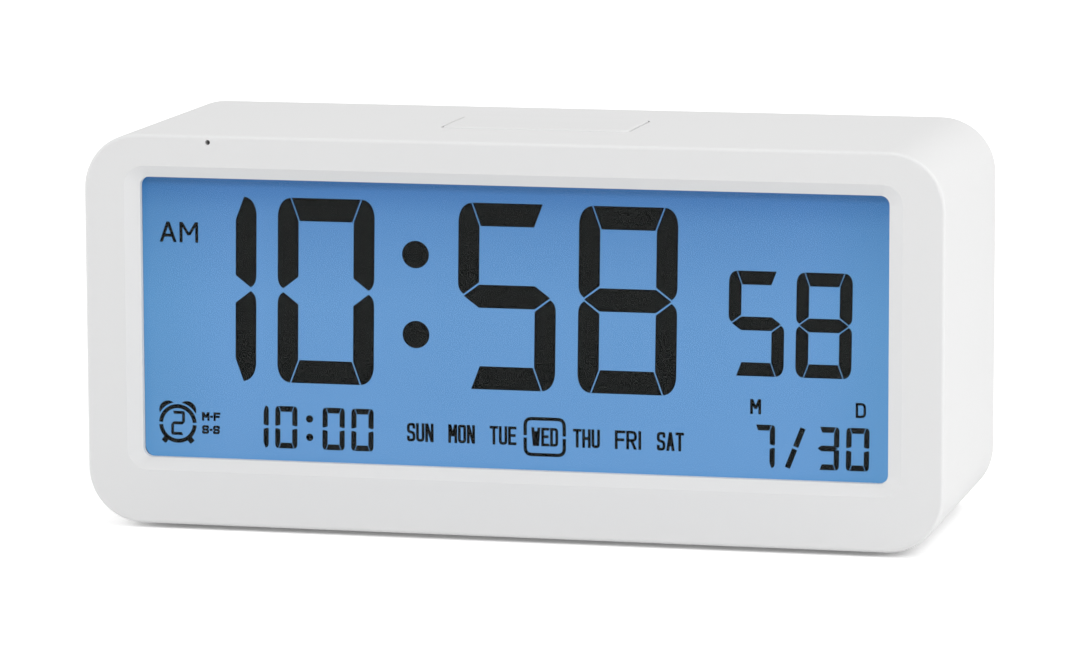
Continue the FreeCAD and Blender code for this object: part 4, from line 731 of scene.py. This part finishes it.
def digit_row(row, low, height, width, stroke, show, **cuts):
    """The driven segments of a row of digits, with the given gap, split and slant between them."""
    shapes = []
    for figure, right in row:
        outlines = digit(figure, right * MM, low, height, width, stroke, lean=show.lean, **cuts)
        shapes += [plate(outline, *mark_depths(show)) for outline in outlines]
    return shapes


def dot_pair(x, lows, radius, show):
    """Round marks, one above the other."""
    return [plate(arc((x, WINDOW_LOW + low * MM), radius, 0, 345), *mark_depths(show)) for low in lows]


class CLOCK_OT_time_digits(bpy.types.Operator):
    """Build the hours, minutes and seconds of the display"""

    bl_idname = "clock.time_digits"
    bl_label = "Time digits"

    def execute(self, context):
        show = context.scene.clock_display
        slant_share = 0.56
        stroke = show.time_stroke
        shapes = digit_row(TIME_ROW, show.time_low, show.time_height, show.time_width, stroke, show,
                           gap=0.22 * MM, split=0.3 * MM, slant=slant_share * stroke)
        shapes += dot_pair(-16.05 * MM, (20.95, 33.85), 2.22 * MM, show)
        add_marks("time_digits", shapes, show)
        share = show.seconds_height / show.time_height
        stroke = 1.05 * share * show.time_stroke
        width = share * show.time_width
        shapes = digit_row(SECONDS_ROW, show.seconds_low, show.seconds_height, width, stroke, show,
                           gap=0.14 * MM, split=0.2 * MM, slant=slant_share * stroke)
        add_marks("seconds_digits", shapes, show)
        return {"FINISHED"}


class CLOCK_OT_small_digits(bpy.types.Operator):
    """Build the alarm time and the date of the display"""

    bl_idname = "clock.small_digits"
    bl_label = "Small digits"

    def figures(self, row, low, show):
        """The driven segments of a row of small digits."""
        stroke = 0.23 * show.small_width
        return digit_row(row, low, show.small_height, show.small_width, stroke, show,
                         gap=0.1 * MM, split=0.18 * MM, slant=0.2 * MM)

    def slash(self, low, show):
        """The slanting stroke of the date, in two halves."""
        foot = np.array([44.4 * MM, WINDOW_LOW + low + 0.02 * show.small_height])
        head = np.array([46.9 * MM, WINDOW_LOW + low + 0.95 * show.small_height])
        halves = (np.array([0.0, 0.47]), np.array([0.53, 1.0]))
        width = 0.235 * show.small_width
        return [bar(foot + half[:, None] * (head - foot), width, *mark_depths(show)) for half in halves]

    def execute(self, context):
        show = context.scene.clock_display
        shapes = self.figures(ALARM_ROW, show.small_low, show)
        shapes += dot_pair(-33.85 * MM, (3.65, 6.65), 0.6 * MM, show)
        add_marks("alarm_time", shapes, show)
        date_low = show.small_low - 0.25 * MM
        shapes = self.figures(DATE_ROW, date_low, show) + self.slash(date_low, show)
        add_marks("date_digits", shapes, show)
        return {"FINISHED"}


class CLOCK_OT_display_words(bpy.types.Operator):
    """Build the row of days, the frame round one day and the display's other letters"""

    bl_idname = "clock.display_words"
    bl_label = "Display words"

    def days(self, low, show):
        """The names of the days, each stretched to the same length."""
        space = 0.13 * MM
        stroke = 0.45 * MM
        shapes = []
        for index, day in enumerate(DAYS):
            left = show.day_left + index * show.day_pitch
            width = (DAY_LENGTH - 2 * space) / word_length(day, 1.0, 0.0)
            shapes += word(day, left, low, show.day_height, width, stroke, space, *mark_depths(show))
        return shapes

    def day_frame(self, low, show):
        """A frame with rounded corners, open a little at the middle of both sides."""
        margin = 1.0 * MM
        radius = 1.1 * MM
        stroke = 0.55 * MM
        half_gap = 0.2 * MM
        low -= 1.4 * MM
        high = low + 5.8 * MM
        left = show.day_left + DAYS.index(FRAMED_DAY) * show.day_pitch - margin
        right = left + DAY_LENGTH + 2 * margin
        shapes = []
        for level, far in ((low, 1), (high, -1)):
            side = (low + high) / 2 - far * half_gap
            path = bend([(left, side), (left, level), (right, level), (right, side)], radius)
            shapes.append(bar(path, stroke, *mark_depths(show)))
        return shapes

    def execute(self, context):
        show = context.scene.clock_display
        low = WINDOW_LOW + show.day_low
        add_marks("day_names", self.days(low, show), show)
        add_marks("day_frame", self.day_frame(low, show), show)
        shapes = []
        for text, *sizes in WORDS:
            left, low, height, width, stroke, space = (size * MM for size in sizes)
            shapes += word(text, left, WINDOW_LOW + low, height, width, stroke, space, *mark_depths(show))
        add_marks("display_letters", shapes, show)
        return {"FINISHED"}


class CLOCK_OT_alarm_sign(bpy.types.Operator):
    """Build the alarm bell clock sign of the display, with its number"""

    bl_idname = "clock.alarm_sign"
    bl_label = "Alarm sign"

    def bell(self, centre, angle, depths):
        """A bell above the ring: a circle's cap, less the part inside a circle round the sign's middle.

        A cap of half width a and height b has the radius (a^2 + b^2) / 2b, and both circles pass through
        its two ends."""
        half_width = 1.45 * MM
        height = 1.1 * MM
        distance = 3.15 * MM
        radius = (half_width ** 2 + height ** 2) / (2 * height)
        reach = math.degrees(math.asin(half_width / radius))
        middle = arc(centre, distance + height - radius, angle, angle, 1)[0]
        outside = arc(middle, radius, angle - reach, angle + reach, 14)
        spread = math.degrees(math.atan2(half_width, distance))
        inside = arc(centre, math.hypot(half_width, distance), angle + spread, angle - spread, 8)
        return plate(np.vstack([outside, inside[1:-1]]), *depths)

    def execute(self, context):
        show = context.scene.clock_display
        depths = mark_depths(show)
        across, up = -55.98, 5.13
        ring_radius = 2.84 * MM
        ring_width = 0.66 * MM
        foot = np.array([[2.8 * MM], [3.88 * MM]])
        foot_width = 0.9 * MM
        centre = np.array([across * MM, WINDOW_LOW + up * MM])
        halves = ((4, 176), (184, 356))
        shapes = [bar(arc(centre, ring_radius, *ends), ring_width, *depths) for ends in halves]
        shapes += [self.bell(centre, angle, depths) for angle in (54, 126)]
        for angle in (231, 309):
            shapes.append(bar(centre + foot * arc((0, 0), 1.0, angle, angle, 1), foot_width, *depths))
        shapes += digit_row((("2", across + 1.18),), 3.25 * MM, 3.95 * MM, 2.3 * MM, 0.46 * MM, show,
                            gap=0.03 * MM, split=0.08 * MM, slant=0.15 * MM)
        add_marks("alarm_sign", shapes, show)
        return {"FINISHED"}


def coil(base, tip, base_radius, tip_radius, turns, wire):
    """A conical spring as a grid: a circle of the wire's radius carried along a helix whose radius shrinks.

    Along the helix the angle is 2 pi turns s, and x goes from base to tip. The first and last three
    quarters of a turn lie flat, as ground ends do. Round the wire the circle lies in the radial direction
    and in the one square to it and to the path."""
    steps_in_turn = 24
    sides = 12
    flat = 0.75 / turns
    steps = int(turns * steps_in_turn) + 1
    share = np.linspace(0, 1, steps)
    angle = 2 * math.pi * turns * share
    rise = np.clip((share - flat) / (1 - 2 * flat), 0, 1)
    start = base + math.copysign(wire / 2, tip - base)
    end = tip - math.copysign(wire / 2, tip - base)
    radius = (base_radius - wire / 2) * (1 - rise) + (tip_radius - wire / 2) * rise
    radial = np.column_stack([np.zeros(steps), np.cos(angle), np.sin(angle)])
    centre = radial * radius[:, None]
    centre[:, 0] = start + (end - start) * rise
    path = np.gradient(centre, axis=0)
    path /= np.linalg.norm(path, axis=1, keepdims=True)
    square = np.cross(path, radial)
    square /= np.linalg.norm(square, axis=1, keepdims=True)
    inward = np.cross(square, path)
    around = np.linspace(0, 2 * math.pi, sides, endpoint=False)
    offsets = np.cos(around)[:, None] * inward[:, None, :] + np.sin(around)[:, None] * square[:, None, :]
    return ring_strip(centre[:, None, :] + offsets * wire / 2, closed=False)


class CLOCK_OT_battery_springs(bpy.types.Operator):
    """Build the three battery springs, each between its plate and its cell"""

    bl_idname = "clock.battery_springs"
    bl_label = "Battery springs"

    def execute(self, context):
        rear = context.scene.clock_rear
        low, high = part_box("battery_springs")
        shapes = []
        for index, name in enumerate(CELLS):
            cell_low, cell_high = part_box(name)
            at_right = index % 2 == 0
            base = high.x if at_right else low.x
            tip = cell_high.x if at_right else cell_low.x
            spring = coil(base, tip, (high.y - low.y) / 2, rear.spring_tip / 2, rear.spring_turns,
                          rear.spring_wire)
            middle = (cell_low + cell_high) / 2
            shapes.append(moved(spring, place=(0.0, middle.y, middle.z)))
        material = metal("spring_wire", srgb(205, 205, 202), 0.26, (1.0, 1.0, 1.0))
        piece = add_piece("battery_spring_coils", shapes, material, smooth=True)
        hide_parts("battery_springs")
        return {"FINISHED"}


def jacket(name, colour, cell_low, cell_high, plus_at_left):
    """A cell's finish: printed jacket with a pale band near the plus end, and bare metal at both ends."""
    bare_plus = 2.0 * MM
    bare_minus = 0.5 * MM
    band_reach = 12.0 * MM
    line_start = 0.56
    line_end = 0.62
    material, tree, shader = new_material(name)
    place = object_place(tree)
    parts = add_node(tree, "ShaderNodeSeparateXYZ", {"Vector": place}).outputs
    plus, minus = (cell_low.x, cell_high.x) if plus_at_left else (cell_high.x, cell_low.x)
    length = abs(minus - plus)
    along = ranged(tree, parts["X"], plus, minus, 0.0, length)
    wrapped = maths(tree, "GREATER_THAN", along, bare_plus)
    ended = maths(tree, "LESS_THAN", along, length - bare_minus)
    covered = maths(tree, "MULTIPLY", wrapped, ended)
    ramp = add_node(tree, "ShaderNodeValToRGB", {"Fac": ranged(tree, along, 0.0, band_reach, 0.0, 1.0)})
    ramp.color_ramp.interpolation = "CONSTANT"
    stops = ramp.color_ramp.elements
    stops[0].color = opaque(srgb(188, 192, 196))
    stops[1].position = line_end
    stops[1].color = opaque(colour)
    line = stops.new(line_start)
    line.color = opaque(srgb(214, 150, 52))
    scratches = noise(tree, place, 900.0, 3.0)
    printed = scaled(tree, ramp.outputs["Color"], ranged(tree, scratches, 0.3, 0.7, 0.94, 1.05))
    shown = mixed(tree, covered, opaque(srgb(206, 206, 204)), printed)
    tree.links.new(shown, shader.inputs["Base Color"])
    tree.links.new(ranged(tree, covered, 0.0, 1.0, 1.0, 0.0), shader.inputs["Metallic"])
    tree.links.new(ranged(tree, scratches, 0.3, 0.7, 0.24, 0.36), shader.inputs["Roughness"])
    bump(tree, shader, scratches, 0.003 * MM)
    return material


class CLOCK_OT_power_finish(bpy.types.Operator):
    """Finish the battery cells and their contact plates"""

    bl_idname = "clock.power_finish"
    bl_label = "Battery cells"

    def execute(self, context):
        colour = context.scene.clock_finish.jacket_colour
        for index, name in enumerate(CELLS):
            material = jacket(name + "_jacket", colour, *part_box(name), plus_at_left=index % 2 == 0)
            paint(material, name)
        paint(metal("contact_metal", srgb(214, 213, 208), 0.24, (1.0, 1.0, 0.06)), "battery_contact_plates")
        return {"FINISHED"}


class CLOCK_OT_rear_labels(bpy.types.Operator):
    """Print what each key does above it, and the two ends of the light slider"""

    bl_idname = "clock.rear_labels"
    bl_label = "Rear labels"

    def label(self, text, x, low, rear):
        """A word centred on a place and read from behind."""
        height = rear.label_height
        depth = rear.label_depth
        width = 0.62 * height
        space = 0.24 * height
        stroke = 0.15 * height
        length = word_length(text, width, space)
        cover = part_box("rear_cover")[1].y
        strokes = word(text, -length / 2, 0.0, height, width, stroke, space, depth / 2, -depth)
        return [moved(part, math.pi, (x, cover, low)) for part in strokes]

    def execute(self, context):
        rear = context.scene.clock_rear
        shapes = []
        for name in KEYS:
            low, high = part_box(name)
            text = name.removesuffix("_key").upper()
            shapes += self.label(text, (low.x + high.x) / 2, high.z + rear.label_gap, rear)
        low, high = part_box("light_switch_slider")
        slide = next(joint for joint in frame["joints"] if joint["name"] == "light_switch_slide")
        travel = slide["range_m"][1]
        middle = (low.x + high.x + travel) / 2
        shapes += self.label("LIGHT", middle, high.z + rear.label_gap, rear)
        below = low.z - rear.label_gap - rear.label_height
        for text, side in (("ON", 1), ("OFF", -1)):
            shapes += self.label(text, middle + side * 1.3 * travel, below, rear)
        print_ink = ink("rear_ink", context.scene.clock_finish.ink_colour)
        add_piece("rear_labels", shapes, print_ink)
        return {"FINISHED"}


def board_material(name, colour):
    """Solder mask over copper tracks: a square cell pattern gives the tracks, which stand a little proud."""
    material, tree, shader = new_material(name)
    place = object_place(tree)
    cells = add_node(tree, "ShaderNodeTexVoronoi", {"Vector": place, "Scale": 230.0},
                     feature="F1", distance="CHEBYCHEV")
    blocks = add_node(tree, "ShaderNodeTexWave", {"Vector": cells.outputs["Position"], "Scale": 900.0})
    lines = add_node(tree, "ShaderNodeTexWave", {"Vector": place, "Scale": 420.0, "Distortion": 0.0},
                     wave_type="BANDS", bands_direction="DIAGONAL")
    chosen = maths(tree, "GREATER_THAN", blocks.outputs["Fac"], 0.45)
    tracks = maths(tree, "GREATER_THAN", lines.outputs["Fac"], 0.6)
    copper = maths(tree, "MULTIPLY", chosen, tracks)
    shown = scaled(tree, opaque(colour), ranged(tree, copper, 0.0, 1.0, 0.75, 1.5))
    tree.links.new(shown, shader.inputs["Base Color"])
    shader.inputs["Roughness"].default_value = 0.32
    bump(tree, shader, copper, 0.03 * MM)
    return material


class CLOCK_OT_electronics(bpy.types.Operator):
    """Finish the boards and what is soldered to them"""

    bl_idname = "clock.electronics"
    bl_label = "Electronics"

    def execute(self, context):
        board = board_material("circuit_board", context.scene.clock_finish.board_colour)
        paint(board, "main_board", "snooze_board", "key_board")
        black = grained("black_moulding", srgb(26, 26, 28), 0.5, tone=0.1)
        paint(black, "snooze_switch", "key_switches", "light_switch_body", "small_board_parts")
        resin = grained("chip_resin", srgb(18, 18, 20), 0.22, size=2.5 * MM, depth=0.03 * MM, tone=0.2)
        paint(resin, "controller_chip")
        sleeve = grained("capacitor_sleeve", srgb(34, 44, 86), 0.3, size=1.0 * MM, tone=0.1)
        paint(sleeve, "board_capacitors")
        sensor = grained("sensor_resin", srgb(214, 212, 204), 0.2, size=1.2 * MM, tone=0.08)
        paint(sensor, "light_sensor")
        lamp = grained("lamp_package", srgb(236, 236, 210), 0.35, size=0.5 * MM, tone=0.05)
        paint(lamp, "backlight_lamps")
        plunger = grained("plunger_plastic", srgb(58, 58, 60), 0.4, tone=0.06)
        paint(plunger, "snooze_plunger", *(name + "_plunger" for name in KEYS))
        return {"FINISHED"}


class CLOCK_OT_metal_finish(bpy.types.Operator):
    """Finish the screws, the quartz crystal can and the buzzer disc"""

    bl_idname = "clock.metal_finish"
    bl_label = "Metal parts"

    def execute(self, context):
        steel = metal("plated_steel", srgb(188, 189, 190), 0.3)
        paint(steel, "case_screws", "board_screws", "snooze_board_screws", "key_board_screws")
        paint(metal("crystal_can", srgb(206, 207, 208), 0.2, (1.0, 1.0, 0.05)), "quartz_crystal")
        paint(metal("buzzer_brass", srgb(214, 178, 98), 0.28, (0.3, 1.0, 1.0)), "buzzer_disc")
        ceramic = grained("silvered_ceramic", srgb(222, 219, 206), 0.4, size=0.8 * MM, tone=0.08)
        paint(ceramic, "buzzer_ceramic")
        return {"FINISHED"}


class CLOCK_OT_soft_finish(bpy.types.Operator):
    """Finish the feet, the gasket, the tape, the contact strip and the display holder"""

    bl_idname = "clock.soft_finish"
    bl_label = "Rubber and foam"

    def execute(self, context):
        rubber = grained("foot_rubber", srgb(38, 38, 39), 0.72, size=0.5 * MM, depth=0.02 * MM, tone=0.2)
        paint(rubber, "rubber_feet")
        foam = grained("gasket_foam", srgb(30, 30, 31), 0.9, size=0.3 * MM, depth=0.08 * MM, tone=0.3)
        paint(foam, "display_gasket", "contact_strip")
        tape = grained("lens_tape", srgb(225, 226, 224), 0.6, size=0.8 * MM, tone=0.05)
        paint(tape, "lens_tape")
        holder = grained("holder_plastic", srgb(216, 216, 214), 0.55, tone=0.03)
        paint(holder, "display_holder")
        return {"FINISHED"}


def wire_material(name, left_colour, right_colour, middle):
    """Insulated wire: one colour on each side of a place, with a slight waxy unevenness."""
    material, tree, shader = new_material(name)
    place = object_place(tree)
    parts = add_node(tree, "ShaderNodeSeparateXYZ", {"Vector": place}).outputs
    side = maths(tree, "GREATER_THAN", parts["X"], middle)
    insulation = mixed(tree, side, opaque(left_colour), opaque(right_colour))
    wax = noise(tree, place, 400.0, 2.0)
    shown = scaled(tree, insulation, ranged(tree, wax, 0.3, 0.7, 0.92, 1.06))
    tree.links.new(shown, shader.inputs["Base Color"])
    tree.links.new(ranged(tree, wax, 0.3, 0.7, 0.36, 0.48), shader.inputs["Roughness"])
    return material


def ribbon_material(name, colour):
    """Ribbon cable: waves across it give its side by side wires in height, and a painted shade that darkens
    the grooves between them.
    """
    material, tree, shader = new_material(name)
    waves = add_node(tree, "ShaderNodeTexWave", {"Vector": object_place(tree), "Scale": 160.0},
                     wave_type="BANDS", bands_direction="X")
    ridges = waves.outputs["Fac"]
    # Darker where the wave is low, in the grooves between wires: painted shade
    shown = scaled(tree, opaque(colour), ranged(tree, ridges, 0.0, 1.0, 0.8, 1.0))
    tree.links.new(shown, shader.inputs["Base Color"])
    shader.inputs["Roughness"].default_value = 0.45
    bump(tree, shader, ridges, 0.2 * MM)
    return material


class CLOCK_OT_wiring(bpy.types.Operator):
    """Finish the wires, red and black in each pair, and the grey ribbon"""

    bl_idname = "clock.wiring"
    bl_label = "Wires"

    def execute(self, context):
        red = srgb(176, 28, 26)
        black = srgb(24, 24, 26)
        for name in ("battery_wires", "buzzer_wires", "snooze_wires"):
            low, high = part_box(name)
            paint(wire_material(name + "_jacket", black, red, (low.x + high.x) / 2), name)
        paint(ribbon_material("ribbon_jacket", srgb(168, 170, 172)), "key_ribbon")
        return {"FINISHED"}


def seen_directly(tree):
    """One for camera and transmission rays, and nothing for the rest."""
    rays = add_node(tree, "ShaderNodeLightPath").outputs
    return maths(tree, "MAXIMUM", rays["Is Camera Ray"], rays["Is Transmission Ray"])


def camera_matrix(studio):
    """The camera's place from its angles: it looks along +Y, turned by yaw, tipped by pitch, then rolled."""
    yaw, pitch, roll = studio.yaw, studio.pitch, studio.roll
    ahead = Vector((-math.sin(yaw) * math.cos(pitch), math.cos(yaw) * math.cos(pitch), -math.sin(pitch)))
    right = Vector((math.cos(yaw), math.sin(yaw), 0.0))
    up = right.cross(ahead)
    rolled_right = math.cos(roll) * right + math.sin(roll) * up
    rolled_up = math.cos(roll) * up - math.sin(roll) * right
    target = Vector((studio.target_x, CASE_LOW.y, studio.target_z))
    turn = Matrix((rolled_right, rolled_up, -ahead)).transposed()
    return Matrix.Translation(target - studio.distance * ahead) @ turn.to_4x4()


LAMPS = (
    ("side", (1.4, -0.35, 0.3), 0.5), ("key", (0.38, -0.5, 0.28), 0.16), ("top", (0.4, -0.12, 1.3), 1.4),
    ("fill", (-1.5, -0.35, 0.35), 0.5), ("rear", (-0.2, 1.3, 0.25), 0.5),
)


def add_lamp(name, place, size, power):
    """A soft square lamp that faces the clock's middle."""
    light = bpy.data.lights.new(name, "AREA")
    light.shape = "SQUARE"
    light.size = size
    light.energy = power
    lamp = bpy.data.objects.new(name, light)
    lamp.visible_camera = False
    lamp.visible_transmission = False
    bpy.context.scene.collection.objects.link(lamp)
    place = Vector(place)
    turn = ((CASE_LOW + CASE_HIGH) / 2 - place).to_track_quat("-Z", "Y")
    lamp.matrix_world = Matrix.Translation(place) @ turn.to_matrix().to_4x4()
    return lamp


class CLOCK_OT_studio(bpy.types.Operator):
    """Build the pale floor, the soft light and the camera"""

    bl_idname = "clock.studio"
    bl_label = "Studio"

    def floor(self, lift):
        """A wide pale disc: rings of points at growing radii, closed at the middle. Its added white drops
        under and beside the clock as a painted contact shadow.
        """
        sides = 64
        radii = np.geomspace(0.05, 6.0, 24)
        angle = np.linspace(0, 2 * math.pi, sides, endpoint=False)
        ring = np.column_stack([np.cos(angle), np.sin(angle), np.zeros(sides)])
        stations = ring[None, :, :] * radii[:, None, None]
        points, faces = ring_strip(stations, closed=False)
        mesh = bpy.data.meshes.new("floor")
        mesh.from_pydata(points.tolist(), [], faces[:-1])
        floor = bpy.data.objects.new("floor", mesh)
        bpy.context.scene.collection.objects.link(floor)
        material, tree, shader = new_material("pale_floor")
        tone = ranged(tree, noise(tree, object_place(tree), 3.0, 1.0), 0.3, 0.7, 0.99, 1.0)
        tree.links.new(scaled(tree, opaque((0.93, 0.93, 0.93)), tone), shader.inputs["Base Color"])
        shader.inputs["Roughness"].default_value = 0.9
        shader.inputs["Specular IOR Level"].default_value = 0.0
        shader.inputs["Emission Color"].default_value = opaque(WHITE)
        # The white lift drops where the clock closes the floor in: a painted contact shadow that deepens the
        # real one
        open_share = add_node(tree, "ShaderNodeAmbientOcclusion", {"Distance": 30.0 * MM}).outputs["AO"]
        added = ranged(tree, open_share, 0.03, 0.22, 0.45 * lift, lift, smooth=True)
        white_lift_and_painted_shadow = maths(tree, "MULTIPLY", seen_directly(tree), added)
        tree.links.new(white_lift_and_painted_shadow, shader.inputs["Emission Strength"])
        mesh.materials.append(material)

    def surroundings(self, ambient):
        """White where it is seen, and even soft light for the rest."""
        world = bpy.data.worlds.new("studio")
        world.use_nodes = True
        tree = world.node_tree
        background = tree.nodes["Background"]
        background.inputs["Color"].default_value = opaque(WHITE)
        strength = ranged(tree, seen_directly(tree), 0.0, 1.0, ambient, 1.0)
        tree.links.new(strength, background.inputs["Strength"])
        bpy.context.scene.world = world

    def execute(self, context):
        studio = context.scene.clock_studio
        self.floor(studio.floor_lift)
        self.surroundings(studio.ambient)
        for name, place, size in LAMPS:
            lamp = add_lamp(name + "_lamp", place, size, getattr(studio, name + "_power"))
            lamp.visible_glossy = name != "rear"
        camera = bpy.data.cameras.new("camera")
        camera.lens = studio.lens
        camera.sensor_width = 36.0
        camera.sensor_fit = "HORIZONTAL"
        camera.clip_start = 0.01
        camera.clip_end = 50.0
        view = bpy.data.objects.new("camera", camera)
        view.matrix_world = camera_matrix(studio)
        context.scene.collection.objects.link(view)
        context.scene.camera = view
        context.scene.view_settings.view_transform = "Standard"
        return {"FINISHED"}


OPERATORS = (
    CLOCK_OT_case_finish, CLOCK_OT_key_finish, CLOCK_OT_display_finish, CLOCK_OT_time_digits,
    CLOCK_OT_small_digits, CLOCK_OT_display_words, CLOCK_OT_alarm_sign, CLOCK_OT_battery_springs,
    CLOCK_OT_power_finish, CLOCK_OT_rear_labels, CLOCK_OT_electronics, CLOCK_OT_metal_finish,
    CLOCK_OT_soft_finish, CLOCK_OT_wiring, CLOCK_OT_studio,
)
SETTINGS = {
    "clock_finish": ClockFinish, "clock_display": ClockDisplay, "clock_rear": ClockRear,
    "clock_studio": ClockStudio,
}


class VIEW3D_PT_clock(bpy.types.Panel):
    """The clock's settings and pieces, in the sidebar"""

    bl_label = "Desk alarm clock"
    bl_space_type = "VIEW_3D"
    bl_region_type = "UI"
    bl_category = "Clock"

    def draw(self, context):
        for operator in OPERATORS:
            self.layout.operator(operator.bl_idname)
        for name, group in SETTINGS.items():
            box = self.layout.box()
            for setting in group.__annotations__:
                box.prop(getattr(context.scene, name), setting)


CLASSES = (*SETTINGS.values(), *OPERATORS, VIEW3D_PT_clock)


def register():
    """Register the classes and hang the settings on the scene."""
    for item in CLASSES:
        bpy.utils.register_class(item)
    for name, group in SETTINGS.items():
        setattr(bpy.types.Scene, name, bpy.props.PointerProperty(type=group))


def unregister():
    """Take the settings off the scene and unregister the classes."""
    for name in SETTINGS:
        delattr(bpy.types.Scene, name)
    for item in reversed(CLASSES):
        bpy.utils.unregister_class(item)


def main():
    """Register the classes and build every piece."""
    register()
    for operator in OPERATORS:
        group, name = operator.bl_idname.split(".")
        getattr(getattr(bpy.ops, group), name)()


if __name__ == "__main__":
    main()
